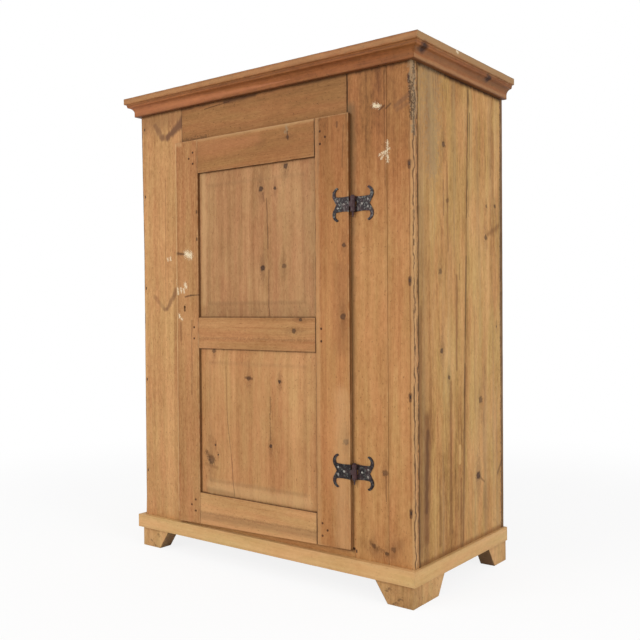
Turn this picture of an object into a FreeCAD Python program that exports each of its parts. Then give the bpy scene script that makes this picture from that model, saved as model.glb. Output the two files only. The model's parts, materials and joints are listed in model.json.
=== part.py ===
"""A country-made pine wardrobe with one framed and panelled door, in millimetres.

Two wide planks and two rails make the front, nailed to plank sides. A mitred cornice, a mitred
plinth strip and thick bracket feet finish the case. The door is lipped over its opening and
swings on two horned iron hinges. X runs along the front, +Y to the back, +Z up, and the origin
is on the floor under the middle of the outline.
"""
import FreeCAD, Part
import os

V = FreeCAD.Vector

# Case: overall sizes, and the stock that it is made of
TOTAL_HEIGHT = 1700.0
CASE_WIDTH = 1195.0
CASE_DEPTH = 618.0
FRONT_PLANK_T = 30.0
SIDE_T = 28.0
BACK_BOARD_T = 15.0
TOP_BOARD_T = 22.0
FLOOR_T = 20.0

# Front: plank widths, the rails between them and how they are let in
LEFT_PLANK_W = 220.0
LEFT_PLANK_WANE = 9.0
LEFT_PLANK_WANE_TOP_DROP = 560.0
LEFT_PLANK_WANE_FOOT_RISE = 110.0
LEFT_PLANK_WANE_FOOT = 5.0
RIGHT_PLANK_W = 235.0
RIGHT_OUTER_BOARD_W = 90.0
FRIEZE_H = 185.0
FRIEZE_TENON_L = 25.0
FRIEZE_TENON_T = 10.0
FRIEZE_TENON_SHOULDER = 30.0
BOTTOM_RAIL_H = 79.0
BOTTOM_RAIL_HOUSING = 20.0

# Sides and back: the slanting seam of each side, and the row of back boards
SIDE_FRONT_BOARD_TOP_W = 330.0
SIDE_FRONT_BOARD_FOOT_W = 276.0
BACK_BOARD_COUNT = 5
BACK_BOARD_GAP = 0.8

# Floor and top boards: the front board of each pair, and the rear one takes the rest
FLOOR_FRONT_BOARD_W = 286.0
TOP_FRONT_BOARD_W = 308.5
FLOOR_CLEAT_T = 18.0
FLOOR_END_GAP = 0.5
LAP_GAP = 0.5

# Cornice profile, from its bottom fillet up to the nose
CORNICE_BASE_H = 15.0
CORNICE_BASE_P = 17.5
CORNICE_COVE_R = 19.0
CORNICE_STEP_H = 12.0
CORNICE_STEP_P = 2.5
CORNICE_NOSE_H = 23.0
CORNICE_NOSE_P = 7.0

# Plinth strip and bracket feet
FOOT_HEIGHT = 71.0
PLINTH_HEIGHT = 48.0
PLINTH_T = 13.0
PLINTH_FRONT_T = 21.0
FOOT_BRACKET_T = 46.0
FOOT_PROUD = 8.0
FOOT_HEAD_W = 140.0
FOOT_SOLE_W = 92.0
FOOT_SIDE_HEAD_W = 190.0
FOOT_SIDE_SOLE_W = 146.0
FOOT_LEFT_HEAD_W = 100.0
FOOT_LEFT_SOLE_W = 70.0

# Door: overlaps of its lip, thicknesses, and the wedge-shaped gap under it
DOOR_T = 26.0
DOOR_LIP_T = 14.0
DOOR_SEAT_GAP = 0.5
DOOR_CLEARANCE = 4.0
OVERLAP_LATCH = 20.0
OVERLAP_HINGE = 12.5
OVERLAP_TOP = 14.0
FOOT_GAP_LATCH = 6.5
FOOT_GAP_HINGE = 25.0

# Door frame: stiles, rails, their tenons and pegs
LATCH_STILE_W = 112.0
HINGE_STILE_W = 131.0
TOP_RAIL_H = 121.0
MID_RAIL_H = 110.0
LOWER_PANEL_H = 519.0
DOOR_BOTTOM_RAIL_H = 122.0
TENON_T = 9.0
TENON_L = 70.0
TENON_SETBACK = 9.0
TENON_SHOULDER = 16.0
TENON_EDGE = 6.0
PEG_R = 3.9
PEG_PLAY = 0.05
PEG_L = 21.0
PEG_PITCH = 20.0
PEG_SETBACKS = (22.0, 42.0, 22.0)

# Door panels: grooves, tongues and the raised field
GROOVE_D = 12.0
GROOVE_W = 7.0
GROOVE_SETBACK = 10.0
PANEL_PLAY = 0.3
PANEL_EXPANSION = 2.0
FIELD_MARGIN = 50.0
FIELD_RISE = 4.5
BEVEL_START = 1.0

# Hinges: leaf outline, knuckles, pin and nails
UPPER_HINGE_DROP = 284.0
LOWER_HINGE_RISE = 270.0
LEAF_T = 2.5
LEAF_REACH = 72.0
LOWER_LEAF_SHIFT = 5.0
LEAF_HALF_H = 24.0
LEAF_WAIST = 1.5
LEAF_KNUCKLE_GAP = 0.9
HORN_W = 14.0
HORN_RISE = 53.0
HORN_CURL = 8.0
HORN_TIP_W = 6.0
HORN_TIP_DROP = 5.0
HORN_TIP_BULGE = 1.2
HORN_BELLY = 3.0
HORN_WIDEST_V = 35.0
HORN_ROOT_V = 15.0
HORN_ROOT_IN = 5.0
HINGE_EDGE_GAP = 4.5
KNUCKLE_SEAT_GAP = 0.3
KNUCKLE_GAP = 0.4
PIN_R = 3.5
PIN_PLAY = 0.05
PIN_HEAD_R = 5.5
PIN_HEAD_H = 4.0
PIN_TAIL = 16.0
PIN_TAIL_TIP_R = 2.0
HINGE_NAIL_SPOTS = ((20.0, 11.0), (20.0, -11.0), (43.0, 0.0))
HINGE_NAIL_R = 1.9
HINGE_NAIL_HEAD_R = 4.0
HINGE_NAIL_HEAD_H = 2.0
HINGE_NAIL_DEPTH = 11.0
NAIL_PLAY = 0.1

# Cut nails through the front planks
CUT_NAIL_W = 5.0
CUT_NAIL_H = 11.0
CUT_NAIL_L = 62.0
CUT_NAIL_SUNK = 0.8
CUT_NAIL_EDGE = 11.0
CUT_NAIL_WANE_EDGE = 19.0
CUT_NAIL_FOOT_RISE = 216.0
CUT_NAIL_PITCH = 347.0
CUT_NAIL_TOP_DROP = 96.0
CUT_NAIL_RAIL_EDGE = 6.0

# Lock: case on the back of the latch stile, sliding bolt and strike
LOCK_RISE = 148.0
KEYHOLE_SETBACK = 42.5
KEYHOLE_R = 4.2
KEYHOLE_SLOT_W = 4.6
KEYHOLE_SLOT_L = 16.0
LOCK_EDGE_GAP = 1.0
LOCK_W = 85.0
LOCK_BELOW = 30.0
LOCK_ABOVE = 48.0
LOCK_T = 16.0
LOCK_WALL = 1.5
LOCK_EAR_W = 44.0
LOCK_EAR_H = 16.0
LOCK_EAR_T = 2.0
LOCK_SCREW_R = 1.8
LOCK_SCREW_HEAD_R = 3.6
LOCK_SCREW_HEAD_H = 1.8
LOCK_SCREW_L = 12.0
LOCK_SCREW_SPREAD = 13.0
BOLT_RISE = 18.0
BOLT_H = 18.0
BOLT_T = 7.0
BOLT_L = 60.0
BOLT_SETBACK = 4.0
BOLT_PLAY = 0.3
STRIKE_T = 2.0
STRIKE_W = 18.0
STRIKE_H = 60.0
STRIKE_PLAY = 1.0
STRIKE_POCKET = 14.0

# Inside fittings: hat shelf, hanging rail and what carries them
SHELF_DROP = 93.0
SHELF_T = 20.0
SHELF_FRONT_GAP = 70.0
SHELF_CLEAT_T = 20.0
SHELF_CLEAT_H = 34.0
SHELF_PLAY = 0.5
RAIL_R = 15.0
RAIL_DROP = 75.0
RAIL_PLAY = 0.3
RAIL_END_GAP = 0.6
SOCKET_T = 22.0
SOCKET_W = 80.0
SOCKET_FLOOR = 26.0
CUT_PAST = 5.0

# Places worked out from the sizes
HALF_W = CASE_WIDTH / 2
CORNICE_P = CORNICE_BASE_P + CORNICE_COVE_R + CORNICE_STEP_P + CORNICE_NOSE_P
CORNICE_H = CORNICE_BASE_H + CORNICE_COVE_R + CORNICE_STEP_H + CORNICE_NOSE_H
FRONT_Y = CORNICE_P - (CASE_DEPTH + CORNICE_P) / 2
BACK_Y = FRONT_Y + CASE_DEPTH
PLANK_BACK_Y = FRONT_Y + FRONT_PLANK_T
BACK_BOARD_Y = BACK_Y - BACK_BOARD_T
WALL_FOOT = FOOT_HEIGHT
WALL_TOP = TOTAL_HEIGHT - TOP_BOARD_T
INSIDE_X = HALF_W - SIDE_T
OPEN_LEFT = LEFT_PLANK_W - HALF_W
OPEN_RIGHT = HALF_W - RIGHT_PLANK_W
OPEN_TOP = WALL_TOP - FRIEZE_H
OPEN_BOTTOM = WALL_FOOT + BOTTOM_RAIL_H
PLINTH_TOP = FOOT_HEIGHT + PLINTH_HEIGHT
FLOOR_Z = OPEN_BOTTOM - FLOOR_T

DOOR_LEFT = OPEN_LEFT - OVERLAP_LATCH
DOOR_RIGHT = OPEN_RIGHT + OVERLAP_HINGE
DOOR_TOP = OPEN_TOP + OVERLAP_TOP
LIP_BACK_Y = FRONT_Y - DOOR_SEAT_GAP
DOOR_FACE_Y = LIP_BACK_Y - DOOR_LIP_T
DOOR_BACK_Y = DOOR_FACE_Y + DOOR_T
INSET_LEFT = OPEN_LEFT + DOOR_CLEARANCE
INSET_RIGHT = OPEN_RIGHT - DOOR_CLEARANCE
INSET_TOP = OPEN_TOP - DOOR_CLEARANCE
INSET_BOTTOM = OPEN_BOTTOM + DOOR_CLEARANCE
SIGHT_LEFT = DOOR_LEFT + LATCH_STILE_W
SIGHT_RIGHT = DOOR_RIGHT - HINGE_STILE_W
TOP_RAIL_Z = DOOR_TOP - TOP_RAIL_H
BOTTOM_RAIL_TOP_Z = PLINTH_TOP + DOOR_BOTTOM_RAIL_H
MID_RAIL_Z = BOTTOM_RAIL_TOP_Z + LOWER_PANEL_H
TENON_Y = (DOOR_FACE_Y + TENON_SETBACK, DOOR_FACE_Y + TENON_SETBACK + TENON_T)
GROOVE_Y = (DOOR_FACE_Y + GROOVE_SETBACK, DOOR_FACE_Y + GROOVE_SETBACK + GROOVE_W)

KNUCKLE_R = (DOOR_LIP_T + DOOR_SEAT_GAP + LEAF_T - KNUCKLE_SEAT_GAP) / 2
AXIS_X = DOOR_RIGHT + KNUCKLE_R + HINGE_EDGE_GAP
AXIS_Y = FRONT_Y - KNUCKLE_SEAT_GAP - KNUCKLE_R
LEAF_INNER = KNUCKLE_R + LEAF_KNUCKLE_GAP
KNUCKLE_HALF_H = LEAF_HALF_H / 3

HINGE_HEIGHTS = {"upper": DOOR_TOP - UPPER_HINGE_DROP, "lower": PLINTH_TOP + LOWER_HINGE_RISE}
LOCK_Z = MID_RAIL_Z + LOCK_RISE
KEYHOLE_X = DOOR_LEFT + KEYHOLE_SETBACK
LOCK_X = INSET_LEFT + LOCK_EDGE_GAP
BOLT_Z = LOCK_Z + BOLT_RISE
BOLT_Y = DOOR_BACK_Y + BOLT_SETBACK
SHELF_Z = OPEN_TOP - SHELF_DROP
SHELF_UNDER = SHELF_Z - SHELF_T
RAIL_Z = SHELF_UNDER - RAIL_DROP
RAIL_Y = (PLANK_BACK_Y + BACK_BOARD_Y) / 2

pieces = {}


def block(x, y, z):
    """A box between two places on each axis."""
    return Part.makeBox(x[1] - x[0], y[1] - y[0], z[1] - z[0], V(x[0], y[0], z[0]))


def prism(corners, travel):
    """A flat outline of corners, carried along a vector."""
    return Part.Face(Part.makePolygon(corners + corners[:1])).extrude(travel)


def rod(radius, start, travel):
    """A round bar from a point, along a vector."""
    return Part.makeCylinder(radius, travel.Length, start, travel)


def mirrored(shape):
    """The same piece on the other side of the middle plane of the case."""
    return shape.mirror(V(0, 0, 0), V(1, 0, 0))


def add(name, shape):
    """Keeps one piece under its name."""
    pieces[name] = shape.removeSplitter()


# Front nails are needed first, because planks, sides and floor are bored for them

def cut_nail(x, z, play=0.0):
    """One cut nail through a front plank, with its head just under the surface."""
    half_w = CUT_NAIL_W / 2 + play
    half_h = CUT_NAIL_H / 2 + play
    start = FRONT_Y + CUT_NAIL_SUNK
    end = start + CUT_NAIL_L + play
    shank = block((x - half_w, x + half_w), (start, end), (z - half_h, z + half_h))
    if play:
        shank = shank.fuse(block((x - half_w, x + half_w), (FRONT_Y - CUT_PAST, start),
                                 (z - half_h, z + half_h))).removeSplitter()
    return shank


def nail_spots():
    """Where the front planks are nailed: down both outer edges, and to the floor's front edge."""
    top = WALL_TOP - CUT_NAIL_TOP_DROP
    heights = [top]
    z = WALL_FOOT + CUT_NAIL_FOOT_RISE
    while z < top - CUT_NAIL_PITCH / 2:
        heights.append(z)
        z += CUT_NAIL_PITCH
    spots = [(CUT_NAIL_WANE_EDGE - HALF_W, z) for z in heights]
    spots += [(HALF_W - CUT_NAIL_EDGE, z) for z in heights]
    floor_z = FLOOR_Z + FLOOR_T / 2
    spots.append((OPEN_LEFT - BOTTOM_RAIL_HOUSING - CUT_NAIL_RAIL_EDGE, floor_z))
    spots.append((OPEN_RIGHT + BOTTOM_RAIL_HOUSING + CUT_NAIL_RAIL_EDGE, floor_z))
    return spots


NAIL_HOLES = Part.makeCompound([cut_nail(x, z, NAIL_PLAY) for x, z in nail_spots()])


# Front of the case

def bolt_box(reach, play):
    """The bolt's section with play round it, reaching left from the door opening's edge."""
    return block((OPEN_LEFT - reach, OPEN_LEFT + CUT_PAST),
                 (BOLT_Y - play, BOLT_Y + BOLT_T + play),
                 (BOLT_Z - BOLT_H / 2 - play, BOLT_Z + BOLT_H / 2 + play))


def strike_seat(past):
    """The shallow recess in the plank's edge that the strike plate fills."""
    middle_y = BOLT_Y + BOLT_T / 2
    return block((OPEN_LEFT - STRIKE_T, OPEN_LEFT + past),
                 (middle_y - STRIKE_W / 2, middle_y + STRIKE_W / 2),
                 (BOLT_Z - STRIKE_H / 2, BOLT_Z + STRIKE_H / 2))


def front():
    """Planks, frieze and bottom rail; the left plank keeps the hollow edge it grew with."""
    plank_y = (FRONT_Y, PLANK_BACK_Y)
    tall = (WALL_FOOT, WALL_TOP)
    seam = HALF_W - RIGHT_OUTER_BOARD_W
    rail = block((OPEN_LEFT - BOTTOM_RAIL_HOUSING, OPEN_RIGHT + BOTTOM_RAIL_HOUSING),
                 plank_y, (WALL_FOOT, OPEN_BOTTOM))
    tenon_y = (FRONT_Y + PLANK_BACK_Y) / 2
    tenons = block((OPEN_LEFT - FRIEZE_TENON_L, OPEN_RIGHT + FRIEZE_TENON_L),
                   (tenon_y - FRIEZE_TENON_T / 2, tenon_y + FRIEZE_TENON_T / 2),
                   (OPEN_TOP + FRIEZE_TENON_SHOULDER, WALL_TOP - FRIEZE_TENON_SHOULDER))
    frieze = block((OPEN_LEFT, OPEN_RIGHT), plank_y, (OPEN_TOP, WALL_TOP)).fuse(tenons)

    wane = [(-HALF_W, WALL_TOP), (LEFT_PLANK_WANE - HALF_W, WALL_TOP - LEFT_PLANK_WANE_TOP_DROP),
            (LEFT_PLANK_WANE - HALF_W, WALL_FOOT + LEFT_PLANK_WANE_FOOT_RISE),
            (LEFT_PLANK_WANE_FOOT - HALF_W, WALL_FOOT), (OPEN_LEFT, WALL_FOOT), (OPEN_LEFT, WALL_TOP)]
    left = prism([V(x, FRONT_Y, z) for x, z in wane], V(0, FRONT_PLANK_T, 0))
    left = left.cut(rail).cut(tenons).cut(NAIL_HOLES)
    left = left.cut(bolt_box(STRIKE_POCKET, STRIKE_PLAY)).cut(strike_seat(CUT_PAST))
    inner = block((OPEN_RIGHT, seam), plank_y, tall).cut(rail).cut(tenons).cut(NAIL_HOLES)
    add("left_front_plank", left)
    add("right_front_plank_inner", inner.cut(leaf_nail_holes()))
    add("right_front_plank_outer", block((seam, HALF_W), plank_y, tall).cut(NAIL_HOLES))
    add("frieze_rail", frieze)
    add("bottom_rail", rail)
    add("front_plank_nails", Part.makeCompound([cut_nail(x, z) for x, z in nail_spots()]))


# Sides, back, top and floor

def sides():
    """Two boards a side, with a seam that leans because the planks taper."""
    foot_y = PLANK_BACK_Y + SIDE_FRONT_BOARD_FOOT_W
    top_y = PLANK_BACK_Y + SIDE_FRONT_BOARD_TOP_W
    outlines = {
        "front": [(PLANK_BACK_Y, WALL_FOOT), (foot_y, WALL_FOOT), (top_y, WALL_TOP),
                  (PLANK_BACK_Y, WALL_TOP)],
        "rear": [(foot_y, WALL_FOOT), (BACK_BOARD_Y, WALL_FOOT), (BACK_BOARD_Y, WALL_TOP),
                 (top_y, WALL_TOP)],
    }
    for place, outline in outlines.items():
        board = prism([V(INSIDE_X, y, z) for y, z in outline], V(SIDE_T, 0, 0))
        add(f"right_side_{place}_board", board.cut(NAIL_HOLES))
        add(f"left_side_{place}_board", mirrored(board).cut(NAIL_HOLES))


def back():
    """Upright boards nailed over the rear edges of the sides."""
    pitch = (CASE_WIDTH + BACK_BOARD_GAP) / BACK_BOARD_COUNT
    for n in range(BACK_BOARD_COUNT):
        start = -HALF_W + n * pitch
        add(f"back_board_{n + 1}", block((start, start + pitch - BACK_BOARD_GAP),
                                         (BACK_BOARD_Y, BACK_Y), (WALL_FOOT, WALL_TOP)))


def split_boards(x, y, z, front_w):
    """A front board of a given width and a rear one, with a narrow gap where they meet."""
    seam = y[0] + front_w
    return {"front": block(x, (y[0], seam), z), "rear": block(x, (seam + LAP_GAP, y[1]), z)}


def top_and_floor():
    """Boards across the top and the floor, with the cleats that carry the floor."""
    top = split_boards((-HALF_W, HALF_W), (FRONT_Y, BACK_Y), (WALL_TOP, TOTAL_HEIGHT),
                       TOP_FRONT_BOARD_W)
    floor_end = INSIDE_X - FLOOR_END_GAP
    floor = split_boards((-floor_end, floor_end), (PLANK_BACK_Y, BACK_BOARD_Y),
                         (FLOOR_Z, OPEN_BOTTOM), FLOOR_FRONT_BOARD_W)
    for place in ("front", "rear"):
        add(f"top_board_{place}", top[place])
        add(f"floor_board_{place}", floor[place].cut(NAIL_HOLES))
    cleat = block((INSIDE_X - FLOOR_CLEAT_T, INSIDE_X), (PLANK_BACK_Y, BACK_BOARD_Y),
                  (WALL_FOOT, FLOOR_Z))
    add("floor_cleat_right", cleat.cut(NAIL_HOLES))
    add("floor_cleat_left", mirrored(cleat).cut(NAIL_HOLES))


# Mouldings that go round three sides

def mitred_runs(name, section, front_reach, side_reach, z):
    """Front, left and right lengths of a strip, mitred at the front corners.

    section makes the outline of a strip that stands out by a reach, from a function that turns
    (projection, height) into a point.
    """
    out = HALF_W + side_reach
    nose_y = FRONT_Y - front_reach
    rise = V(0, 0, z[1] - z[0])
    front_plan = prism([V(-HALF_W, FRONT_Y, z[0]), V(HALF_W, FRONT_Y, z[0]),
                        V(out, nose_y, z[0]), V(-out, nose_y, z[0])], rise)
    side_plan = prism([V(HALF_W, FRONT_Y, z[0]), V(out, nose_y, z[0]),
                       V(out, BACK_Y, z[0]), V(HALF_W, BACK_Y, z[0])], rise)
    front_run = section(front_reach, lambda p, h: V(-out, FRONT_Y - p, h)).extrude(V(2 * out, 0, 0))
    side_run = section(side_reach, lambda p, h: V(HALF_W + p, nose_y, h))
    side = side_run.extrude(V(0, BACK_Y - nose_y, 0)).common(side_plan)
    add(f"{name}_front", front_run.common(front_plan))
    add(f"{name}_right", side)
    add(f"{name}_left", mirrored(side))


def cornice_section(reach, place):
    """Bottom fillet, cove, a stepped fillet that leans out, and the square nose."""
    base_z = TOTAL_HEIGHT - CORNICE_H
    cove_z = base_z + CORNICE_BASE_H
    step_z = cove_z + CORNICE_COVE_R
    nose_z = step_z + CORNICE_STEP_H
    cove_p = CORNICE_BASE_P + CORNICE_COVE_R
    slant = CORNICE_COVE_R * (1 - 0.5 ** 0.5)
    cove = Part.Arc(place(CORNICE_BASE_P, cove_z),
                    place(CORNICE_BASE_P + slant, step_z - slant),
                    place(cove_p, step_z)).toShape()
    below = Part.makePolygon([place(0, TOTAL_HEIGHT), place(0, base_z),
                              place(CORNICE_BASE_P, base_z), place(CORNICE_BASE_P, cove_z)])
    above = Part.makePolygon([place(cove_p, step_z), place(cove_p + CORNICE_STEP_P, nose_z),
                              place(reach, nose_z), place(reach, TOTAL_HEIGHT),
                              place(0, TOTAL_HEIGHT)])
    return Part.Face(Part.Wire(below.Edges + [cove] + above.Edges))


def plinth_section(reach, place):
    """A plain square-edged strip."""
    corners = [place(0, FOOT_HEIGHT), place(reach, FOOT_HEIGHT),
               place(reach, PLINTH_TOP), place(0, PLINTH_TOP)]
    return Part.Face(Part.makePolygon(corners + corners[:1]))


# Feet

def feet():
    """Front feet of a front and a side bracket, rear feet of one bracket along the side.

    The front brackets stand forward under the plinth, and the rear ones stand out under it.
    The left front foot reaches less far back than the right one.
    """
    bracket_x = HALF_W - FOOT_BRACKET_T
    face_y = FRONT_Y - FOOT_PROUD
    side_start = FRONT_Y + FOOT_BRACKET_T
    front_bracket = prism([V(HALF_W, face_y, 0), V(HALF_W - FOOT_SOLE_W, face_y, 0),
                           V(HALF_W - FOOT_HEAD_W, face_y, FOOT_HEIGHT),
                           V(HALF_W, face_y, FOOT_HEIGHT)], V(0, FOOT_PROUD + FOOT_BRACKET_T, 0))
    side_brackets = [prism([V(bracket_x, side_start, 0), V(bracket_x, FRONT_Y + sole, 0),
                            V(bracket_x, FRONT_Y + head, FOOT_HEIGHT),
                            V(bracket_x, side_start, FOOT_HEIGHT)], V(FOOT_BRACKET_T, 0, 0))
                     for sole, head in ((FOOT_SIDE_SOLE_W, FOOT_SIDE_HEAD_W),
                                        (FOOT_LEFT_SOLE_W, FOOT_LEFT_HEAD_W))]
    rear_bracket = prism([V(bracket_x, BACK_Y, 0), V(bracket_x, BACK_Y - FOOT_SOLE_W, 0),
                          V(bracket_x, BACK_Y - FOOT_HEAD_W, FOOT_HEIGHT),
                          V(bracket_x, BACK_Y, FOOT_HEIGHT)], V(FOOT_BRACKET_T + FOOT_PROUD, 0, 0))
    for side, place, side_bracket in (("right", lambda shape: shape, side_brackets[0]),
                                      ("left", mirrored, side_brackets[1])):
        add(f"front_{side}_foot_front_bracket", place(front_bracket))
        add(f"front_{side}_foot_side_bracket", place(side_bracket))
        add(f"rear_{side}_foot_bracket", place(rear_bracket))


# Door frame and panels

def door_blank():
    """The outline of the whole door: a lip over the front, and a thinner part in the opening."""
    foot_latch = PLINTH_TOP + FOOT_GAP_LATCH
    foot_hinge = PLINTH_TOP + FOOT_GAP_HINGE
    lip = prism([V(DOOR_LEFT, DOOR_FACE_Y, foot_latch), V(DOOR_RIGHT, DOOR_FACE_Y, foot_hinge),
                 V(DOOR_RIGHT, DOOR_FACE_Y, DOOR_TOP), V(DOOR_LEFT, DOOR_FACE_Y, DOOR_TOP)],
                V(0, DOOR_LIP_T, 0))
    inset = block((INSET_LEFT, INSET_RIGHT), (LIP_BACK_Y, DOOR_BACK_Y), (INSET_BOTTOM, INSET_TOP))
    return lip.fuse(inset)


RAIL_SPANS = {"top": (TOP_RAIL_Z, DOOR_TOP),
              "mid": (MID_RAIL_Z, MID_RAIL_Z + MID_RAIL_H),
              "bottom": (PLINTH_TOP, BOTTOM_RAIL_TOP_Z)}
TENON_SPANS = {"top": (TOP_RAIL_Z + TENON_SHOULDER, INSET_TOP - TENON_EDGE),
               "mid": (MID_RAIL_Z + TENON_SHOULDER, MID_RAIL_Z + MID_RAIL_H - TENON_SHOULDER),
               "bottom": (INSET_BOTTOM + TENON_EDGE, BOTTOM_RAIL_TOP_Z - TENON_SHOULDER)}
PANEL_SPANS = {"upper": (MID_RAIL_Z + MID_RAIL_H, TOP_RAIL_Z),
               "lower": (BOTTOM_RAIL_TOP_Z, MID_RAIL_Z)}


def tenon_bar(rail):
    """Both tenons of a rail, joined through it."""
    return block((SIGHT_LEFT - TENON_L, SIGHT_RIGHT + TENON_L), TENON_Y, TENON_SPANS[rail])


def panel_pocket(panel):
    """The panel's opening with the groove all round it."""
    z = PANEL_SPANS[panel]
    return block((SIGHT_LEFT - GROOVE_D, SIGHT_RIGHT + GROOVE_D), GROOVE_Y,
                 (z[0] - GROOVE_D, z[1] + GROOVE_D))


def peg_spots():
    """Three pegs in a zigzag through each corner tenon, two through each middle tenon."""
    spots = []
    for rail, span in TENON_SPANS.items():
        middle = (span[0] + span[1]) / 2
        steps = (1, -1) if rail == "mid" else (1, 0, -1)
        setbacks = PEG_SETBACKS[::2] if rail == "mid" else PEG_SETBACKS
        for step, setback in zip(steps, setbacks):
            z = middle + step * PEG_PITCH
            spots.append((SIGHT_LEFT - setback, z))
            spots.append((SIGHT_RIGHT + setback, z))
    return spots


def pegs(play):
    """All the pegs of the door frame, or their holes with play round them."""
    length = PEG_L + play
    return Part.makeCompound([rod(PEG_R + play, V(x, DOOR_FACE_Y, z), V(0, length, 0))
                              for x, z in peg_spots()])


def keyhole():
    """A round hole with a slot under it, right through the latch stile."""
    start = DOOR_FACE_Y - CUT_PAST
    depth = V(0, DOOR_T + 2 * CUT_PAST, 0)
    slot = block((KEYHOLE_X - KEYHOLE_SLOT_W / 2, KEYHOLE_X + KEYHOLE_SLOT_W / 2),
                 (start, start + depth.Length), (LOCK_Z - KEYHOLE_SLOT_L, LOCK_Z))
    return rod(KEYHOLE_R, V(KEYHOLE_X, start, LOCK_Z), depth).fuse(slot)


def door_frame():
    """Stiles with mortises, rails with tenons, both grooved for the panels and bored for pegs."""
    blank = door_blank()
    deep = (DOOR_FACE_Y, DOOR_BACK_Y)
    tall = (PLINTH_TOP, DOOR_TOP)
    holes = pegs(PEG_PLAY)
    pockets = [panel_pocket(panel) for panel in PANEL_SPANS]
    stiles = {"latch": blank.common(block((DOOR_LEFT, SIGHT_LEFT), deep, tall)),
              "hinge": blank.common(block((SIGHT_RIGHT, DOOR_RIGHT), deep, tall))}
    for rail, span in RAIL_SPANS.items():
        body = blank.common(block((SIGHT_LEFT, SIGHT_RIGHT), deep, span))
        body = body.cut(Part.makeCompound(pockets)).fuse(tenon_bar(rail))
        add(f"door_{rail}_rail", body.cut(holes))
    for name, stile in stiles.items():
        for cutter in [tenon_bar(rail) for rail in RAIL_SPANS] + pockets:
            stile = stile.cut(cutter)
        stile = stile.cut(holes).cut(leaf_nail_holes()).cut(keyhole()).cut(lock_screws(NAIL_PLAY))
        add(f"door_{name}_stile", stile)
    add("door_pegs", pegs(0.0))


def door_panels():
    """Raised panels: a tongue in the groove all round, a wide bevel and a flat field."""
    tongue_y = (GROOVE_Y[0] + PANEL_PLAY, GROOVE_Y[1] - PANEL_PLAY)
    reach = GROOVE_D - PANEL_EXPANSION
    for panel, z in PANEL_SPANS.items():
        plate = block((SIGHT_LEFT - reach, SIGHT_RIGHT + reach), tongue_y,
                      (z[0] - reach, z[1] + reach))
        wires = []
        for inset, y in ((BEVEL_START, tongue_y[0]), (FIELD_MARGIN, tongue_y[0] - FIELD_RISE)):
            x = (SIGHT_LEFT + inset, SIGHT_RIGHT - inset)
            low, high = z[0] + inset, z[1] - inset
            wires.append(Part.makePolygon([V(x[0], y, low), V(x[1], y, low), V(x[1], y, high),
                                           V(x[0], y, high), V(x[0], y, low)]))
        add(f"door_{panel}_panel", plate.fuse(Part.makeLoft(wires, True, True)))


# Hinges

def leaf_reach(name, side):
    """How far a leaf's horns are from the axis; the lower hinge sits a little towards the door."""
    shift = LOWER_LEAF_SHIFT if name == "lower" else 0.0
    return LEAF_REACH + shift if side == "door" else LEAF_REACH - shift


def leaf_outline(reach, place):
    """A plate with a waist, ending in two horns whose tips curl back towards the knuckle."""
    notch = reach - HORN_W
    waist_u = (LEAF_INNER + notch) / 2
    tip_in = (notch - HORN_CURL, HORN_RISE - HORN_TIP_DROP)
    tip_out = (tip_in[0] + HORN_TIP_W, HORN_RISE)
    tip_middle = ((tip_in[0] + tip_out[0]) / 2 - HORN_TIP_BULGE,
                  (tip_in[1] + tip_out[1]) / 2 + HORN_TIP_BULGE)
    root = (reach - HORN_ROOT_IN, HORN_ROOT_V)
    upper = [
        ((LEAF_INNER, LEAF_HALF_H), (waist_u, LEAF_HALF_H - LEAF_WAIST), (notch, LEAF_HALF_H)),
        ((notch, LEAF_HALF_H), (notch + HORN_BELLY, HORN_WIDEST_V), tip_in),
        (tip_in, tip_middle, tip_out),
        (tip_out, (reach, HORN_WIDEST_V), root),
        (root, None, (notch, 0)),
    ]
    lower = [tuple(p and (p[0], -p[1]) for p in edge[::-1]) for edge in upper[::-1]]
    edges = []
    for start, middle, end in upper + lower:
        if middle:
            edges.append(Part.Arc(place(*start), place(*middle), place(*end)).toShape())
        else:
            edges.append(Part.makeLine(place(*start), place(*end)))
    edges.append(Part.makeLine(place(LEAF_INNER, -LEAF_HALF_H), place(LEAF_INNER, LEAF_HALF_H)))
    return Part.Face(Part.Wire(edges))


def leaf_plane(side):
    """Where a leaf's back lies, and the way its distance from the axis runs along X."""
    return (DOOR_FACE_Y, -1) if side == "door" else (FRONT_Y, 1)


def nail_dome(x, face_y, z):
    """The rounded head of a hinge nail, lying on a leaf's face."""
    radius = (HINGE_NAIL_HEAD_R ** 2 + HINGE_NAIL_HEAD_H ** 2) / (2 * HINGE_NAIL_HEAD_H)
    ball = Part.makeSphere(radius, V(x, face_y - HINGE_NAIL_HEAD_H + radius, z))
    return ball.common(block((x - radius, x + radius), (face_y - HINGE_NAIL_HEAD_H, face_y),
                             (z - radius, z + radius)))


def leaf_nails(side, play):
    """The nails of both leaves on one side, or their holes when play is given."""
    back_y, way = leaf_plane(side)
    made = []
    for name, height in HINGE_HEIGHTS.items():
        for setback, rise in HINGE_NAIL_SPOTS:
            x, z = AXIS_X + way * (leaf_reach(name, side) - setback), height + rise
            face_y = back_y - LEAF_T
            shank = rod(HINGE_NAIL_R + play, V(x, face_y, z),
                        V(0, LEAF_T + HINGE_NAIL_DEPTH + play, 0))
            if not play:
                shank = shank.fuse(nail_dome(x, face_y, z))
            made.append(shank)
    return made


def leaf_nail_holes():
    """Holes for every hinge nail, in the door and in the front planks."""
    return Part.makeCompound(leaf_nails("door", NAIL_PLAY) + leaf_nails("frame", NAIL_PLAY))


def knuckle(low, high):
    """A solid length of the hinge's barrel, between two heights."""
    return rod(KNUCKLE_R, V(AXIS_X, AXIS_Y, low), V(0, 0, high - low))


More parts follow.
